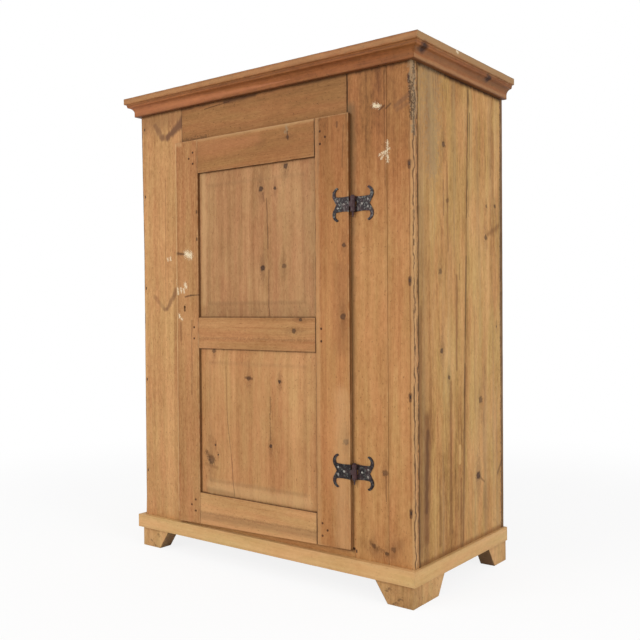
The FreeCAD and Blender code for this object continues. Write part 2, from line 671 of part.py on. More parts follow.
def hinge(name, height):
    """Two leaves, the pin, and three knuckles: the door's between the two of the frame."""
    bore = rod(PIN_R + PIN_PLAY, V(AXIS_X, AXIS_Y, height - LEAF_HALF_H - CUT_PAST),
               V(0, 0, 2 * (LEAF_HALF_H + CUT_PAST)))
    gap = KNUCKLE_GAP / 2
    spans = {"door": [(-KNUCKLE_HALF_H + gap, KNUCKLE_HALF_H - gap)],
             "frame": [(-LEAF_HALF_H, -KNUCKLE_HALF_H - gap), (KNUCKLE_HALF_H + gap, LEAF_HALF_H)]}
    for side, rings in spans.items():
        back_y, way = leaf_plane(side)
        plate = leaf_outline(leaf_reach(name, side),
                             lambda u, v: V(AXIS_X + way * u, back_y - LEAF_T, height + v))
        leaf = plate.extrude(V(0, LEAF_T, 0))
        for low, high in rings:
            strap_x = sorted((AXIS_X, AXIS_X + way * (LEAF_INNER + LEAF_KNUCKLE_GAP)))
            strap = block(strap_x, (back_y - LEAF_T, back_y), (height + low, height + high))
            leaf = leaf.fuse(knuckle(height + low, height + high)).fuse(strap)
        leaf = leaf.cut(bore).cut(Part.makeCompound(leaf_nails(side, NAIL_PLAY)))
        add(f"{name}_hinge_{side}_leaf", leaf)
    foot = height - LEAF_HALF_H
    shaft = rod(PIN_R, V(AXIS_X, AXIS_Y, foot), V(0, 0, 2 * LEAF_HALF_H))
    head = rod(PIN_HEAD_R, V(AXIS_X, AXIS_Y, height + LEAF_HALF_H), V(0, 0, PIN_HEAD_H))
    tail = Part.makeCone(PIN_R, PIN_TAIL_TIP_R, PIN_TAIL, V(AXIS_X, AXIS_Y, foot), V(0, 0, -1))
    add(f"{name}_hinge_pin", shaft.fuse(head).fuse(tail))


# Lock

def lock_screws(play):
    """Four screws through the ears of the lock case, or their holes when play is given."""
    ear_x = LOCK_X + LOCK_W / 2
    made = []
    for z in (LOCK_Z + LOCK_ABOVE + LOCK_EAR_H / 2, LOCK_Z - LOCK_BELOW - LOCK_EAR_H / 2):
        for step in (-1, 1):
            x = ear_x + step * LOCK_SCREW_SPREAD
            top_y = DOOR_BACK_Y + LOCK_EAR_T
            screw = rod(LOCK_SCREW_R + play, V(x, top_y, z), V(0, -LOCK_SCREW_L - play, 0))
            if not play:
                screw = screw.fuse(rod(LOCK_SCREW_HEAD_R, V(x, top_y, z),
                                       V(0, LOCK_SCREW_HEAD_H, 0)))
            made.append(screw)
    return Part.makeCompound(made)


def lock():
    """A shallow iron case, open towards the door, with a bolt that slides out of its edge."""
    z = (LOCK_Z - LOCK_BELOW, LOCK_Z + LOCK_ABOVE)
    x = (LOCK_X, LOCK_X + LOCK_W)
    y = (DOOR_BACK_Y, DOOR_BACK_Y + LOCK_T)
    hollow = block((x[0] + LOCK_WALL, x[1] - LOCK_WALL), (y[0], y[1] - LOCK_WALL),
                   (z[0] + LOCK_WALL, z[1] - LOCK_WALL))
    ear_x = LOCK_X + LOCK_W / 2
    ear_span = (ear_x - LOCK_EAR_W / 2, ear_x + LOCK_EAR_W / 2)
    ear_y = (DOOR_BACK_Y, DOOR_BACK_Y + LOCK_EAR_T)
    case = block(x, y, z).cut(hollow)
    case = case.fuse(block(ear_span, ear_y, (z[1], z[1] + LOCK_EAR_H)))
    case = case.fuse(block(ear_span, ear_y, (z[0] - LOCK_EAR_H, z[0])))
    bolt_y = (BOLT_Y, BOLT_Y + BOLT_T)
    bolt_z = (BOLT_Z - BOLT_H / 2, BOLT_Z + BOLT_H / 2)
    way = block((x[0] - CUT_PAST, x[0] + LOCK_WALL),
                (bolt_y[0] - BOLT_PLAY, bolt_y[1] + BOLT_PLAY),
                (bolt_z[0] - BOLT_PLAY, bolt_z[1] + BOLT_PLAY))
    add("lock_case", case.cut(way).cut(lock_screws(NAIL_PLAY)))
    add("lock_bolt", block((x[0], x[0] + BOLT_L), bolt_y, bolt_z))
    add("lock_screws", lock_screws(0.0))
    add("lock_strike", strike_seat(0.0).cut(bolt_box(STRIKE_POCKET, STRIKE_PLAY)))


# Inside fittings

def inside():
    """A hat shelf on two cleats, and a turned hanging rail in two open sockets."""
    shelf_y = (PLANK_BACK_Y + SHELF_FRONT_GAP, BACK_BOARD_Y)
    shelf_end = INSIDE_X - SHELF_PLAY
    add("hat_shelf", block((-shelf_end, shelf_end), shelf_y, (SHELF_UNDER, SHELF_Z)))
    cleat_z = SHELF_UNDER - SHELF_CLEAT_H
    cleat = block((INSIDE_X - SHELF_CLEAT_T, INSIDE_X), shelf_y, (cleat_z, SHELF_UNDER))
    add("shelf_cleat_right", cleat)
    add("shelf_cleat_left", mirrored(cleat))

    rail_end = INSIDE_X - RAIL_END_GAP
    add("hanging_rail", rod(RAIL_R, V(-rail_end, RAIL_Y, RAIL_Z), V(2 * rail_end, 0, 0)))
    seat_r = RAIL_R + RAIL_PLAY
    socket_x = (INSIDE_X - SOCKET_T, INSIDE_X)
    socket = block(socket_x, (RAIL_Y - SOCKET_W / 2, RAIL_Y + SOCKET_W / 2),
                   (RAIL_Z - seat_r - SOCKET_FLOOR, cleat_z))
    slot = block((socket_x[0] - CUT_PAST, socket_x[1] + CUT_PAST),
                 (RAIL_Y - seat_r, RAIL_Y + seat_r), (RAIL_Z, cleat_z + CUT_PAST))
    bore = rod(seat_r, V(socket_x[0] - CUT_PAST, RAIL_Y, RAIL_Z), V(SOCKET_T + 2 * CUT_PAST, 0, 0))
    socket = socket.cut(slot.fuse(bore))
    add("rail_socket_right", socket)
    add("rail_socket_left", mirrored(socket))


def main():
    """Makes every piece and writes it under its own name."""
    front()
    sides()
    back()
    top_and_floor()
    mitred_runs("cornice", cornice_section, CORNICE_P, CORNICE_P,
                (TOTAL_HEIGHT - CORNICE_H, TOTAL_HEIGHT))
    mitred_runs("plinth", plinth_section, PLINTH_FRONT_T, PLINTH_T, (FOOT_HEIGHT, PLINTH_TOP))
    feet()
    door_frame()
    door_panels()
    for name, height in HINGE_HEIGHTS.items():
        hinge(name, height)
    for side in ("door", "frame"):
        add(f"hinge_{side}_nails", Part.makeCompound(leaf_nails(side, 0.0)))
    lock()
    inside()
    os.makedirs("parts", exist_ok=True)
    for name, shape in pieces.items():
        shape.exportStep(f"parts/{name}.step")
    print(len(pieces), "pieces")


main()
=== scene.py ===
"""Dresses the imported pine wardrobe: waxed and worn boards, black iron hinges, a pale plinth and feet.

Lengths are in metres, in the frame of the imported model: X along the front, +Y to the back, +Z up.
"""
import json
import logging
import math
from collections.abc import Callable, Sequence
from dataclasses import dataclass, field, replace
from enum import Enum

import bmesh
import bpy
from mathutils import Matrix, Vector, noise

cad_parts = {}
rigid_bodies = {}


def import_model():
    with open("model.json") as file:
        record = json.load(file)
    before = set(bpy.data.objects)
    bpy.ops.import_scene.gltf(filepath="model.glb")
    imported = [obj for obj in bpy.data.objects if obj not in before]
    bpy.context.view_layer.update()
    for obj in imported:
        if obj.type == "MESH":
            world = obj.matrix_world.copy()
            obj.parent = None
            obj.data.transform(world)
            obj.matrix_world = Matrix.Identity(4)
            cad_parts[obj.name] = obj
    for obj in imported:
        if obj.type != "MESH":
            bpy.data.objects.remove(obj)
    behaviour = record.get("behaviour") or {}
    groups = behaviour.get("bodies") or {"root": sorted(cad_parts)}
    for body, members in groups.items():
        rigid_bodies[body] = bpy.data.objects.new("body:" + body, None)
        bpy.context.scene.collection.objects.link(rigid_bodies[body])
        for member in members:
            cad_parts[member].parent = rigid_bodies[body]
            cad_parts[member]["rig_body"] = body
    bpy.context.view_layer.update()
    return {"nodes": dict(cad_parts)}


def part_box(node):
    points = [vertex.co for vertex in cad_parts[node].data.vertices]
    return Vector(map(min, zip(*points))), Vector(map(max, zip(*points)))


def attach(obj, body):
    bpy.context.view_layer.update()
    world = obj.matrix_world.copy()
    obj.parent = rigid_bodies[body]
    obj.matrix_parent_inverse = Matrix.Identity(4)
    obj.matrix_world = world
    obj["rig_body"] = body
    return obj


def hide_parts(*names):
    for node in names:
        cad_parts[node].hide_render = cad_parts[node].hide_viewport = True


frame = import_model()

log = logging.getLogger("wardrobe")

Colour = tuple[float, float, float]
Spot = tuple[float, float]
Box = tuple[Vector, Vector]
Mesh = bmesh.types.BMesh

X_AXIS, Y_AXIS, Z_AXIS = 0, 1, 2
SHARP_ANGLE = math.radians(25)
FLAT_ANGLE = math.radians(0.5)
MERGE_GAP = 1e-5
SEEN_SUFFIX = "seen"
CUT_GAP = 1e-7
SEED_STRIDES = (3.1, 1.3, 2.3)
SQUARE_ON = 0.9
BROAD_WAVES, FINE_WAVES = 14.0, 75.0


def tint(red: int, green: int, blue: int) -> Colour:
    """A colour as a screen shows it, from 0 to 255, turned into amounts of light."""
    return tuple(
        part / 12.92 if part <= 0.04045 else ((part + 0.055) / 1.055) ** 2.4
        for part in (red / 255, green / 255, blue / 255)
    )


def operator(operation: str, swapped: bool = False) -> "Callable[..., Value]":
    """One of Value's operators, as a Math node whose sides are swapped for a reflected form."""

    def apply(value: "Value", *others: "float | Value") -> "Value":
        """The node's result for a value and the other side, if the operator has one."""
        terms = (*others, value) if swapped else (value, *others)
        return value.shader.maths(operation, *terms)

    return apply


class Value:
    """A number, colour or vector on its way through a material, with Python's operators as Math nodes."""

    def __init__(self, shader: "Shader", socket: bpy.types.NodeSocket) -> None:
        """Keeps the node output that carries the value."""
        self.shader = shader
        self.socket = socket

    __add__ = __radd__ = operator("ADD")
    __sub__ = operator("SUBTRACT")
    __rsub__ = operator("SUBTRACT", swapped=True)
    __mul__ = __rmul__ = operator("MULTIPLY")
    __truediv__ = operator("DIVIDE")
    __rtruediv__ = operator("DIVIDE", swapped=True)
    __abs__ = operator("ABSOLUTE")


class Shader:
    """A node tree, with the one method that adds nodes and the shapes of maths that finishes share."""

    def __init__(self, tree: bpy.types.NodeTree) -> None:
        """Empties the tree so that every node in it is made here."""
        self.tree = tree
        self.tree.nodes.clear()

    def node(
        self,
        kind: str,
        settings: dict[str, object] | None = None,
        values: dict[str | int, object] | None = None,
    ) -> bpy.types.Node:
        """Adds a node, sets it up, then fills its sockets.

        Args:
            kind: the node's type name.
            settings: attributes of the node, or "stops" for a ramp's places and colours.
            values: what goes into each socket, by name or number: a Value is linked.

        Returns:
            The new node.
        """
        made = self.tree.nodes.new(kind)
        for name, setting in (settings or {}).items():
            if name == "stops":
                self._set_stops(made.color_ramp, setting)
            else:
                setattr(made, name, setting)
        for name, value in (values or {}).items():
            if isinstance(value, Value):
                self.tree.links.new(value.socket, made.inputs[name])
            else:
                made.inputs[name].default_value = value
        return made

    @staticmethod
    def _set_stops(ramp: bpy.types.ColorRamp, stops: Sequence[tuple[float, Colour]]) -> None:
        """Gives a new ramp, which has two stops, the places and colours that are asked for."""
        for _ in range(len(stops) - len(ramp.elements)):
            ramp.elements.new(1.0)
        for element, (place, colour) in zip(ramp.elements, stops):
            element.position = place
            element.color = (*colour, 1.0)

    def maths(self, operation: str, *terms: "float | Value") -> Value:
        """A Math node on one, two or three values."""
        made = self.node("ShaderNodeMath", {"operation": operation}, dict(enumerate(terms)))
        return Value(self, made.outputs[0])

    def least(self, *terms: Value) -> Value:
        """The smallest of several values."""
        result = terms[0]
        for term in terms[1:]:
            result = self.maths("MINIMUM", result, term)
        return result

    def vector(self, *parts: "float | Value") -> Value:
        """Three values joined into one vector."""
        made = self.node("ShaderNodeCombineXYZ", values=dict(enumerate(parts)))
        return Value(self, made.outputs[0])

    def noise(self, place: Value, detail: float = 2.0, roughness: float = 0.5) -> Value:
        """Soft noise from 0 to 1 at a place that is already scaled."""
        made = self.node(
            "ShaderNodeTexNoise",
            {"noise_dimensions": "3D"},
            {"Vector": place, "Scale": 1.0, "Detail": detail, "Roughness": roughness},
        )
        return Value(self, made.outputs[0])

    def step(self, value: Value, start: float, end: float) -> Value:
        """A smooth climb from 0 where the value is at start to 1 where it is at end."""
        rising = start < end
        made = self.node(
            "ShaderNodeMapRange",
            {"interpolation_type": "SMOOTHSTEP"},
            {
                "Value": value,
                "From Min": min(start, end),
                "From Max": max(start, end),
                "To Min": 0.0 if rising else 1.0,
                "To Max": 1.0 if rising else 0.0,
            },
        )
        return Value(self, made.outputs[0])

    def ramp(self, value: Value, stops: Sequence[tuple[float, Colour]]) -> Value:
        """A colour looked up along a row of stops."""
        made = self.node("ShaderNodeValToRGB", {"stops": stops}, {"Fac": value})
        return Value(self, made.outputs[0])

    def mix(self, share: "float | Value", first: "Colour | Value", second: "Colour | Value",
            blend: str = "MIX") -> Value:
        """Two colours mixed, with the share of the second one."""
        factor, a_socket, b_socket, result = 0, 6, 7, 2
        colours = [c if isinstance(c, Value) else (*c, 1.0) for c in (first, second)]
        made = self.node(
            "ShaderNodeMix",
            {"data_type": "RGBA", "blend_type": blend, "clamp_factor": True},
            {factor: share, a_socket: colours[0], b_socket: colours[1]},
        )
        return Value(self, made.outputs[result])

    def object_place(self) -> list[Value]:
        """The place on the piece itself, as its three coordinates."""
        coordinates = self.node("ShaderNodeTexCoord")
        split = self.node(
            "ShaderNodeSeparateXYZ", values={"Vector": Value(self, coordinates.outputs["Object"])}
        )
        return [Value(self, output) for output in split.outputs]

    def finish_surface(self, colour: Value, roughness: Value, height: Value, relief: float,
                       specular: float, metallic: "float | Value" = 0.0) -> None:
        """Joins the maps of a finish to a surface shader.

        Args:
            colour: the base colour.
            roughness: the roughness.
            height: the relief map, from 0 to 1.
            relief: how deep that relief is, in metres.
            specular: how strongly the surface reflects.
            metallic: how much of it is bare metal.
        """
        bump = self.node("ShaderNodeBump", values={"Distance": relief, "Strength": 1.0, "Height": height})
        surface = self.node(
            "ShaderNodeBsdfPrincipled",
            values={
                "Base Color": colour,
                "Roughness": roughness,
                "Metallic": metallic,
                "Specular IOR Level": specular,
                "Normal": Value(self, bump.outputs[0]),
            },
        )
        self.node("ShaderNodeOutputMaterial", values={"Surface": Value(self, surface.outputs[0])})


def new_material(name: str) -> tuple[bpy.types.Material, Shader]:
    """An empty material, with the shader that fills it."""
    material = bpy.data.materials.new(name)
    material.use_nodes = True
    return material, Shader(material.node_tree)


class Grain(Enum):
    """How a board's grain lies: the axes along it, across its face and into its thickness."""

    UPRIGHT_FRONT = (Z_AXIS, X_AXIS, Y_AXIS)
    LEVEL_FRONT = (X_AXIS, Z_AXIS, Y_AXIS)
    UPRIGHT_SIDE = (Z_AXIS, Y_AXIS, X_AXIS)
    LEVEL_SIDE = (Y_AXIS, Z_AXIS, X_AXIS)
    LEVEL_TOP = (X_AXIS, Y_AXIS, Z_AXIS)

    def __init__(self, along: int, across: int, depth: int) -> None:
        """Names the axes, and the two of the board's face in the order X, Y, Z."""
        self.along, self.across, self.depth = along, across, depth
        self.face = tuple(sorted((along, across)))


class MarkKind(Enum):
    """What a mark on a board is: its colour, how ragged and how soft it is, and how it breaks up.

    The last number is the flakes per metre that it breaks up into; without one it frays along the fibres.
    """

    # Cracks, and also lines of painted shade.
    CRACK_AND_SHADE = (tint(58, 32, 18), 0.8, 0.6)
    SPIKE = (tint(118, 80, 54), 0.9, 0.75)
    # Dirt, and also lines of painted shade.
    GRIME_AND_SHADE = (tint(66, 40, 24), 0.9, 0.95)
    RUST = (tint(72, 42, 28), 0.8, 0.7)
    BAND = (tint(122, 80, 46), 1.1, 1.0)
    SHADE = (tint(112, 86, 56), 0.6, 1.0)
    BLUSH = (tint(198, 128, 88), 0.9, 1.0)
    EDGE = (tint(78, 52, 31), 2.4, 0.8)
    OLIVE = (tint(166, 131, 88), 0.8, 0.6)
    # Pale worn wood, and also painted light.
    BLEACH_AND_LIGHT = (tint(212, 172, 122), 1.0, 0.95)
    PATCH = (tint(214, 172, 112), 0.2, 0.2)
    PAINT = (tint(230, 212, 178), 6.5, 0.5, 330.0)
    GREY = (tint(148, 127, 98), 4.0, 0.8, 120.0)
    SPECK = (tint(66, 43, 27), 6.0, 0.7, 140.0)

    def __init__(self, colour: Colour, ragged: float, softness: float, flakes: float = 0.0) -> None:
        """Names the four values."""
        self.colour, self.ragged, self.softness, self.flakes = colour, ragged, softness, flakes

    def __call__(self, start: Spot, end: Spot, width: float, strength: float, taper: float = 1.0,
                 on_edge: bool = False) -> "Mark":
        """A mark of this kind along a line."""
        return Mark(self, start, end, width, strength, taper, on_edge)


CRACK_AND_SHADE, SPIKE, GRIME_AND_SHADE, RUST, BAND, SHADE, BLUSH, EDGE, OLIVE, BLEACH_AND_LIGHT, PATCH, PAINT, GREY, SPECK = MarkKind


@dataclass(frozen=True)
class Knot:
    """A knot: its place on the face, its radius, and how dark it is."""

    at: Spot
    size: float
    dark: float


@dataclass(frozen=True)
class Mark:
    """A crack, stain, patch of paint, painted shade or light, or other mark along a line.

    The line lies on the board's face, or on the edge of a front board that faces +X. The taper is
    the width at its end as a share of the width at its start.
    """

    kind: MarkKind
    start: Spot
    end: Spot
    width: float
    strength: float
    taper: float
    on_edge: bool


@dataclass(frozen=True)
class Pattern:
    """Noise drawn out along the grain.

    It has so many waves per metre across and along the grain, so many octaves of finer noise and, where
    only its peaks count, two levels between which they climb from 0 to 1.
    """

    fine: float
    long: float
    detail: float = 2.0
    peaks: Spot | None = None


@dataclass(frozen=True)
class Pine:
    """A pine finish: four tones from early to late wood, and how strong or fine each pattern is."""

    name: str
    pale: Colour
    honey: Colour
    amber: Colour
    umber: Colour
    rings: float = 0.12
    ring_width: float = 0.0042
    figure: Pattern = Pattern(70.0, 1.4, 3.0)
    streaks: float = 0.5
    blotches: float = 0.4
    mottle: float = 0.34
    grit: float = 0.42
    hairs: float = 0.12
    fibre: float = 0.26
    pits: float = 0.5
    hues: tuple[Colour, Colour] = ((0.965, 1.0, 0.93), (1.035, 0.965, 0.94))
    weathering: float = 0.0
    roughness: float = 0.52
    relief: float = 0.0006


@dataclass(frozen=True)
class Timber:
    """One board: the node it stands for, its finish, and what is particular to it."""

    node: str
    finish: Pine
    grain: Grain
    tone: float = 0.0
    # How much darker the board is painted towards the top.
    top_darkening: float = 0.0
    arris: float = 0.25
    # Dirt near the board's edges; on the panels it is also painted shade beside the frame.
    grime_and_shade: float = 0.15
    dark_edge_reach: float = 0.014
    # Painted shade, with some dirt, on the edge faces a few millimetres behind the front face.
    recess_shade: float = 0.0
    margin: float = 0.0
    pith_depth: float = 0.07
    lean: Spot = (0.008, 0.02)
    knots: tuple[Knot, ...] = ()
    marks: tuple[Mark, ...] = ()
    marked_through: bool = False

    @property
    def seed(self) -> int:
        """A fixed number for this board, so that no two boards look alike."""
        return sum(place * ord(letter) for place, letter in enumerate(self.node, 1)) % 97


class PineShader:
    """Paints one board: growth rings round a leaning pith, fibres, stains, knots and marks."""

    GREY_WOOD = tint(150, 130, 100)
    KNOT_CORE = tint(88, 62, 46)
    KNOT_RIM = tint(56, 36, 25)
    WORN_EDGE = tint(214, 174, 124)
    DARK_EDGE = tint(82, 50, 28)
    CREVICE_SHADE = tint(58, 32, 17)
    TONE_MIDDLE = 0.36
    AGING_FROM, AGING_TO = 0.95, 1.62
    EDGE_NEAR, EDGE_FAR = 0.0008, 0.006
    SHALLOW, DEEP = (0.0012, 0.0040), (0.0135, 0.0095)
    EDGE_FACE = 0.004
    FACE_SWAY, EDGE_SWAY = 0.004, 0.032
    SEED_STRIDE = 1.7
    SPECULAR = 0.12
    CRACK_DEPTH = 1.2
    RING_DARKENS, RING_ENDS = (0.25, 0.9), (1.0, 0.9)
    KNOT_BEND, KNOT_BENDS, KNOT_LENGTH = 0.72, (4.2, 0.4), 0.9
    KNOT_SHADOW, KNOT_EDGE, KNOT_HEART = (2.0, 0.3), (1.3, 0.6), (0.2, 0.95)
    ROUND, BENT, TAILED = 1.0, 1.3, 4.5
    BANDS = Pattern(18.0, 0.7)
    BLOTCHES = Pattern(6.0, 3.2, 3.0)
    MOTTLE = Pattern(70.0, 30.0, 3.0)
    FIBRES = Pattern(560.0, 14.0)
    GRIT = Pattern(170.0, 75.0, 3.0)
    HAIRS = Pattern(200.0, 8.0, peaks=(0.54, 0.7))
    HUES = Pattern(24.0, 4.0, 4.0)
    PITS = Pattern(200.0, 110.0, peaks=(0.61, 0.73))
    WEATHER = Pattern(34.0, 1.1, 4.0, (0.47, 0.66))
    RING_SWAY = Pattern(3.0, 1.6)
    RING_RIPPLE = Pattern(26.0, 5.0)
    RINGS_SEEN = Pattern(9.0, 0.9, peaks=(0.36, 0.6))
    KNOT_WOBBLE = Pattern(150.0, 110.0, 3.0)
    MARK_SWAY = Pattern(30.0, 20.0, 3.0)
    MARK_FRAY = Pattern(110.0, 26.0, 4.0)
    RUBBED_PATCHES = Pattern(30.0, 24.0, 3.0, (0.38, 0.62))

    def __init__(self, timber: Timber, box: Box) -> None:
        """Sets out the board's own coordinates.

        Args:
            timber: the board.
            box: the lowest and highest corners of its mesh.
        """
        self.timber = timber
        self.finish = timber.finish
        self.box = box
        self.material, self.shader = new_material(f"{timber.finish.name}_{timber.node}")
        self.place = self.shader.object_place()
        self.along, self.across, self.depth = (self.place[axis] for axis in timber.grain.value)
        self.middle = (box[0] + box[1]) / 2

    def paint(self) -> bpy.types.Material:
        """Builds the whole material and returns it."""
        shader, finish = self.shader, self.finish
        bent = self._bend_round_knots()
        late = self._rings(bent)
        streak = self._noise(bent, finish.figure)
        band = self._noise(bent, self.BANDS)
        blotch = self._noise(self.across, self.BLOTCHES)
        mottle = self._noise(self.across, self.MOTTLE)
        fibre = self._noise(bent, self.FIBRES)
        grit = self._noise(bent, self.GRIT)
        hair = self._noise(bent, self.HAIRS) * shader.step(blotch, 0.4, 0.62)
        tone = (
            self.timber.tone + self.TONE_MIDDLE
            + finish.rings * late
            + finish.streaks * (streak + band - 1.0)
            + finish.blotches * (blotch - 0.5)
            + finish.mottle * (mottle - 0.5)
            + finish.grit * (grit - 0.5)
            + finish.hairs * hair
            + finish.fibre * (fibre - 0.5)
        )
        # Darker towards the top.
        if self.timber.top_darkening:
            height = self.place[Z_AXIS]
            tone = tone + self.timber.top_darkening * shader.step(height, self.AGING_FROM, self.AGING_TO)
        colour = shader.ramp(tone, [
            (0.0, finish.pale), (0.36, finish.honey), (0.68, finish.amber), (1.0, finish.umber),
        ])
        olive, rosy = finish.hues
        hue = shader.ramp(self._noise(bent, self.HUES), [(0.36, olive), (0.64, rosy)])
        colour = shader.mix(1.0, colour, hue, "MULTIPLY")
        colour = shader.mix(self._noise(bent, self.PITS) * finish.pits, colour, finish.umber)
        if finish.weathering:
            grey = self._noise(bent, self.WEATHER) * finish.weathering
            colour = shader.mix(grey, colour, self.GREY_WOOD)
        colour = self._dress_edges(colour, streak)
        if self.timber.knots:
            colour = self._lay_knots(colour)
        height = 0.5 * fibre + 0.25 * late + 0.25 * streak
        if self.timber.marks:
            colour, height = self._lay_marks(colour, height)
        roughness = finish.roughness + 0.3 * (blotch - 0.5) + 0.12 * (fibre - 0.5)
        shader.finish_surface(colour, roughness, height, finish.relief, self.SPECULAR)
        return self.material

    def _noise(self, across: Value, pattern: Pattern) -> Value:
        """A pattern from 0 to 1, over a coordinate across the grain."""
        fine, offset = pattern.fine, self.timber.seed * self.SEED_STRIDE
        spot = self.shader.vector(
            across * fine + offset, self.depth * fine, self.along * pattern.long + offset
        )
        waves = self.shader.noise(spot, pattern.detail, 0.55)
        return self.shader.step(waves, *pattern.peaks) if pattern.peaks else waves

    def _rings(self, across: Value) -> Value:
        """Late wood, 1 on the dark side of each growth ring, from the distance to a leaning pith.

        The pith lies beside the board, so that most rings run straight along it.

        Args:
            across: the coordinate across the grain, bent round the knots.

        Returns:
            A value from 0 to 1, faded out in places.
        """
        shader, timber = self.shader, self.timber
        along_axis, across_axis, depth_axis = timber.grain.value
        width = self.box[1][across_axis] - self.box[0][across_axis]
        beside = 0.45 + 0.4 * ((timber.seed * 0.37) % 1.0)
        aside = self.middle[across_axis] + width * (beside if timber.seed % 2 else -beside)
        from_middle = self.along - self.middle[along_axis]
        sway = self._noise(across, self.RING_SWAY) - 0.5
        ripple = self._noise(across, self.RING_RIPPLE) - 0.5
        from_pith = across - aside + timber.lean[0] * from_middle + 0.02 * sway
        into = self.depth - self.middle[depth_axis] - timber.pith_depth + timber.lean[1] * from_middle
        radius = shader.maths("SQRT", from_pith * from_pith + into * into) + 0.004 * ripple
        turns = radius / self.finish.ring_width
        part = shader.maths("FRACT", turns)
        ring = shader.maths("FLOOR", turns)
        lively = shader.node("ShaderNodeTexWhiteNoise", {"noise_dimensions": "1D"}, {"W": ring})
        strength = 0.25 + 0.75 * Value(shader, lively.outputs["Value"])
        seen = self._noise(across, self.RINGS_SEEN)
        return shader.step(part, *self.RING_DARKENS) * shader.step(part, *self.RING_ENDS) * strength * seen

    def _knot_offset(self, knot: Knot) -> tuple[Value, Value]:
        """How far a point is from a knot across and along the grain, in the knot's radii."""
        centre = dict(zip(self.timber.grain.face, knot.at))
        along_axis, across_axis, _ = self.timber.grain.value
        aside = (self.across - centre[across_axis]) / knot.size
        ahead = (self.along - centre[along_axis]) / (knot.size * self.KNOT_LENGTH)
        return aside, ahead

    def _oval(self, aside: Value, ahead: Value, stretch: float) -> Value:
        """The distance from a knot's middle, over an oval drawn out along the grain."""
        drawn = ahead / stretch
        return self.shader.maths("SQRT", aside * aside + drawn * drawn)

    def _bend_round_knots(self) -> Value:
        """The coordinate across the grain, crowded aside so that the grain flows round each knot."""
        bent = self.across
        for knot in self.timber.knots:
            aside, ahead = self._knot_offset(knot)
            near = self.shader.step(self._oval(aside, ahead, self.BENT), *self.KNOT_BENDS)
            bent = bent - aside * near * (self.KNOT_BEND * knot.size)
        return bent

    def _lay_knots(self, colour: Value) -> Value:
        """Lays each knot's long shadow in the grain, its dark rim and its core over the board."""
        shader = self.shader
        wobble = 1.6 * (self._noise(self.across, self.KNOT_WOBBLE) - 0.5)
        for knot in self.timber.knots:
            aside, ahead = self._knot_offset(knot)
            reach = self._oval(aside, ahead, self.ROUND) + wobble
            tail = self._oval(aside, ahead, self.TAILED) + 1.5 * wobble
            shadow = shader.step(tail, *self.KNOT_SHADOW) * (0.4 * knot.dark)
            inside = shader.step(reach, *self.KNOT_EDGE) * knot.dark
            heart = shader.mix(shader.step(reach, *self.KNOT_HEART), self.KNOT_CORE, self.KNOT_RIM)
            colour = shader.mix(shadow, colour, self.finish.umber)
            colour = shader.mix(inside, colour, heart)
        return colour

    def _lay_marks(self, colour: Value, height: Value) -> tuple[Value, Value]:
        """Lays each mark over the board, by the distance to its line.

        Args:
            colour: the board's colour so far.
            height: the board's relief so far.

        Returns:
            The new colour and the new relief, into which cracks go.
        """
        shader = self.shader
        sway = self._noise(self.across, self.MARK_SWAY) - 0.5
        swayed = list(self.place)
        across_axis = self.timber.grain.across
        swayed[across_axis] = swayed[across_axis] + self.FACE_SWAY * sway
        face = shader.vector(*(swayed[axis] for axis in self.timber.grain.face), 0.0)
        edge = shader.vector(self.place[Y_AXIS] + self.EDGE_SWAY * sway, self.place[Z_AXIS], 0.0)
        on_edge = shader.step(self.box[1].x - self.place[X_AXIS], self.EDGE_FACE, 0.0)
        on_face = 1.0 if self.timber.marked_through else self._outer_half()
        breaks = {0.0: self._noise(self.across, self.MARK_FRAY) - 0.5}
        for mark in self.timber.marks:
            flakes = mark.kind.flakes
            if flakes not in breaks:
                breaks[flakes] = shader.noise(
                    shader.vector(*(part * flakes for part in self.place)), 3.0, 0.65
                ) - 0.5
            where = edge if mark.on_edge else face
            cover = self._mark_cover(mark, where, breaks[flakes]) * mark.strength
            cover = cover * (on_edge if mark.on_edge else on_face)
            colour = shader.mix(cover, colour, mark.kind.colour)
            if mark.kind is CRACK_AND_SHADE:
                height = height - self.CRACK_DEPTH * cover
        return colour, height

    def _outer_half(self) -> Value:
        """1 on the half of the board that is outside the wardrobe, 0 on the half that faces in."""
        depth_axis = self.timber.grain.depth
        middle = self.middle[depth_axis]
        outwards = -1.0 if depth_axis == Y_AXIS else math.copysign(1.0, middle)
        return self.shader.step((self.depth - middle) * outwards, -0.001, 0.001)

    def _mark_cover(self, mark: Mark, face: Value, breaks: Value) -> Value:
        """How much of a mark covers a point, from 0 to 1.

        Args:
            mark: the mark.
            face: the point on the board's face or edge.
            breaks: fine noise about 0.

        Returns:
            The share of the mark's colour.
        """
        run = Vector((mark.end[0] - mark.start[0], mark.end[1] - mark.start[1], 0.0))
        offset = self._vector_maths("SUBTRACT", {0: face, 1: (*mark.start, 0.0)})
        width = mark.width
        if run.length > 0.0:
            share = self._vector_maths("DOT_PRODUCT", {0: offset, 1: tuple(run / run.length_squared)})
            share = self.shader.maths("MINIMUM", self.shader.maths("MAXIMUM", share, 0.0), 1.0)
            along = self._vector_maths("SCALE", {0: tuple(run), "Scale": share})
            offset = self._vector_maths("SUBTRACT", {0: offset, 1: along})
            if mark.taper != 1.0:
                width = mark.width + mark.width * (mark.taper - 1.0) * share
        reach = self._vector_maths("LENGTH", {0: offset}) / width + mark.kind.ragged * breaks
        return self.shader.step(reach, 1.0, 1.0 - mark.kind.softness)

    def _vector_maths(self, operation: str, values: dict[str | int, object]) -> Value:
        """A Vector Math node, whose result is a number for a product or a length."""
        made = self.shader.node("ShaderNodeVectorMath", {"operation": operation}, values)
        number = operation in ("DOT_PRODUCT", "LENGTH")
        return Value(self.shader, made.outputs["Value" if number else "Vector"])

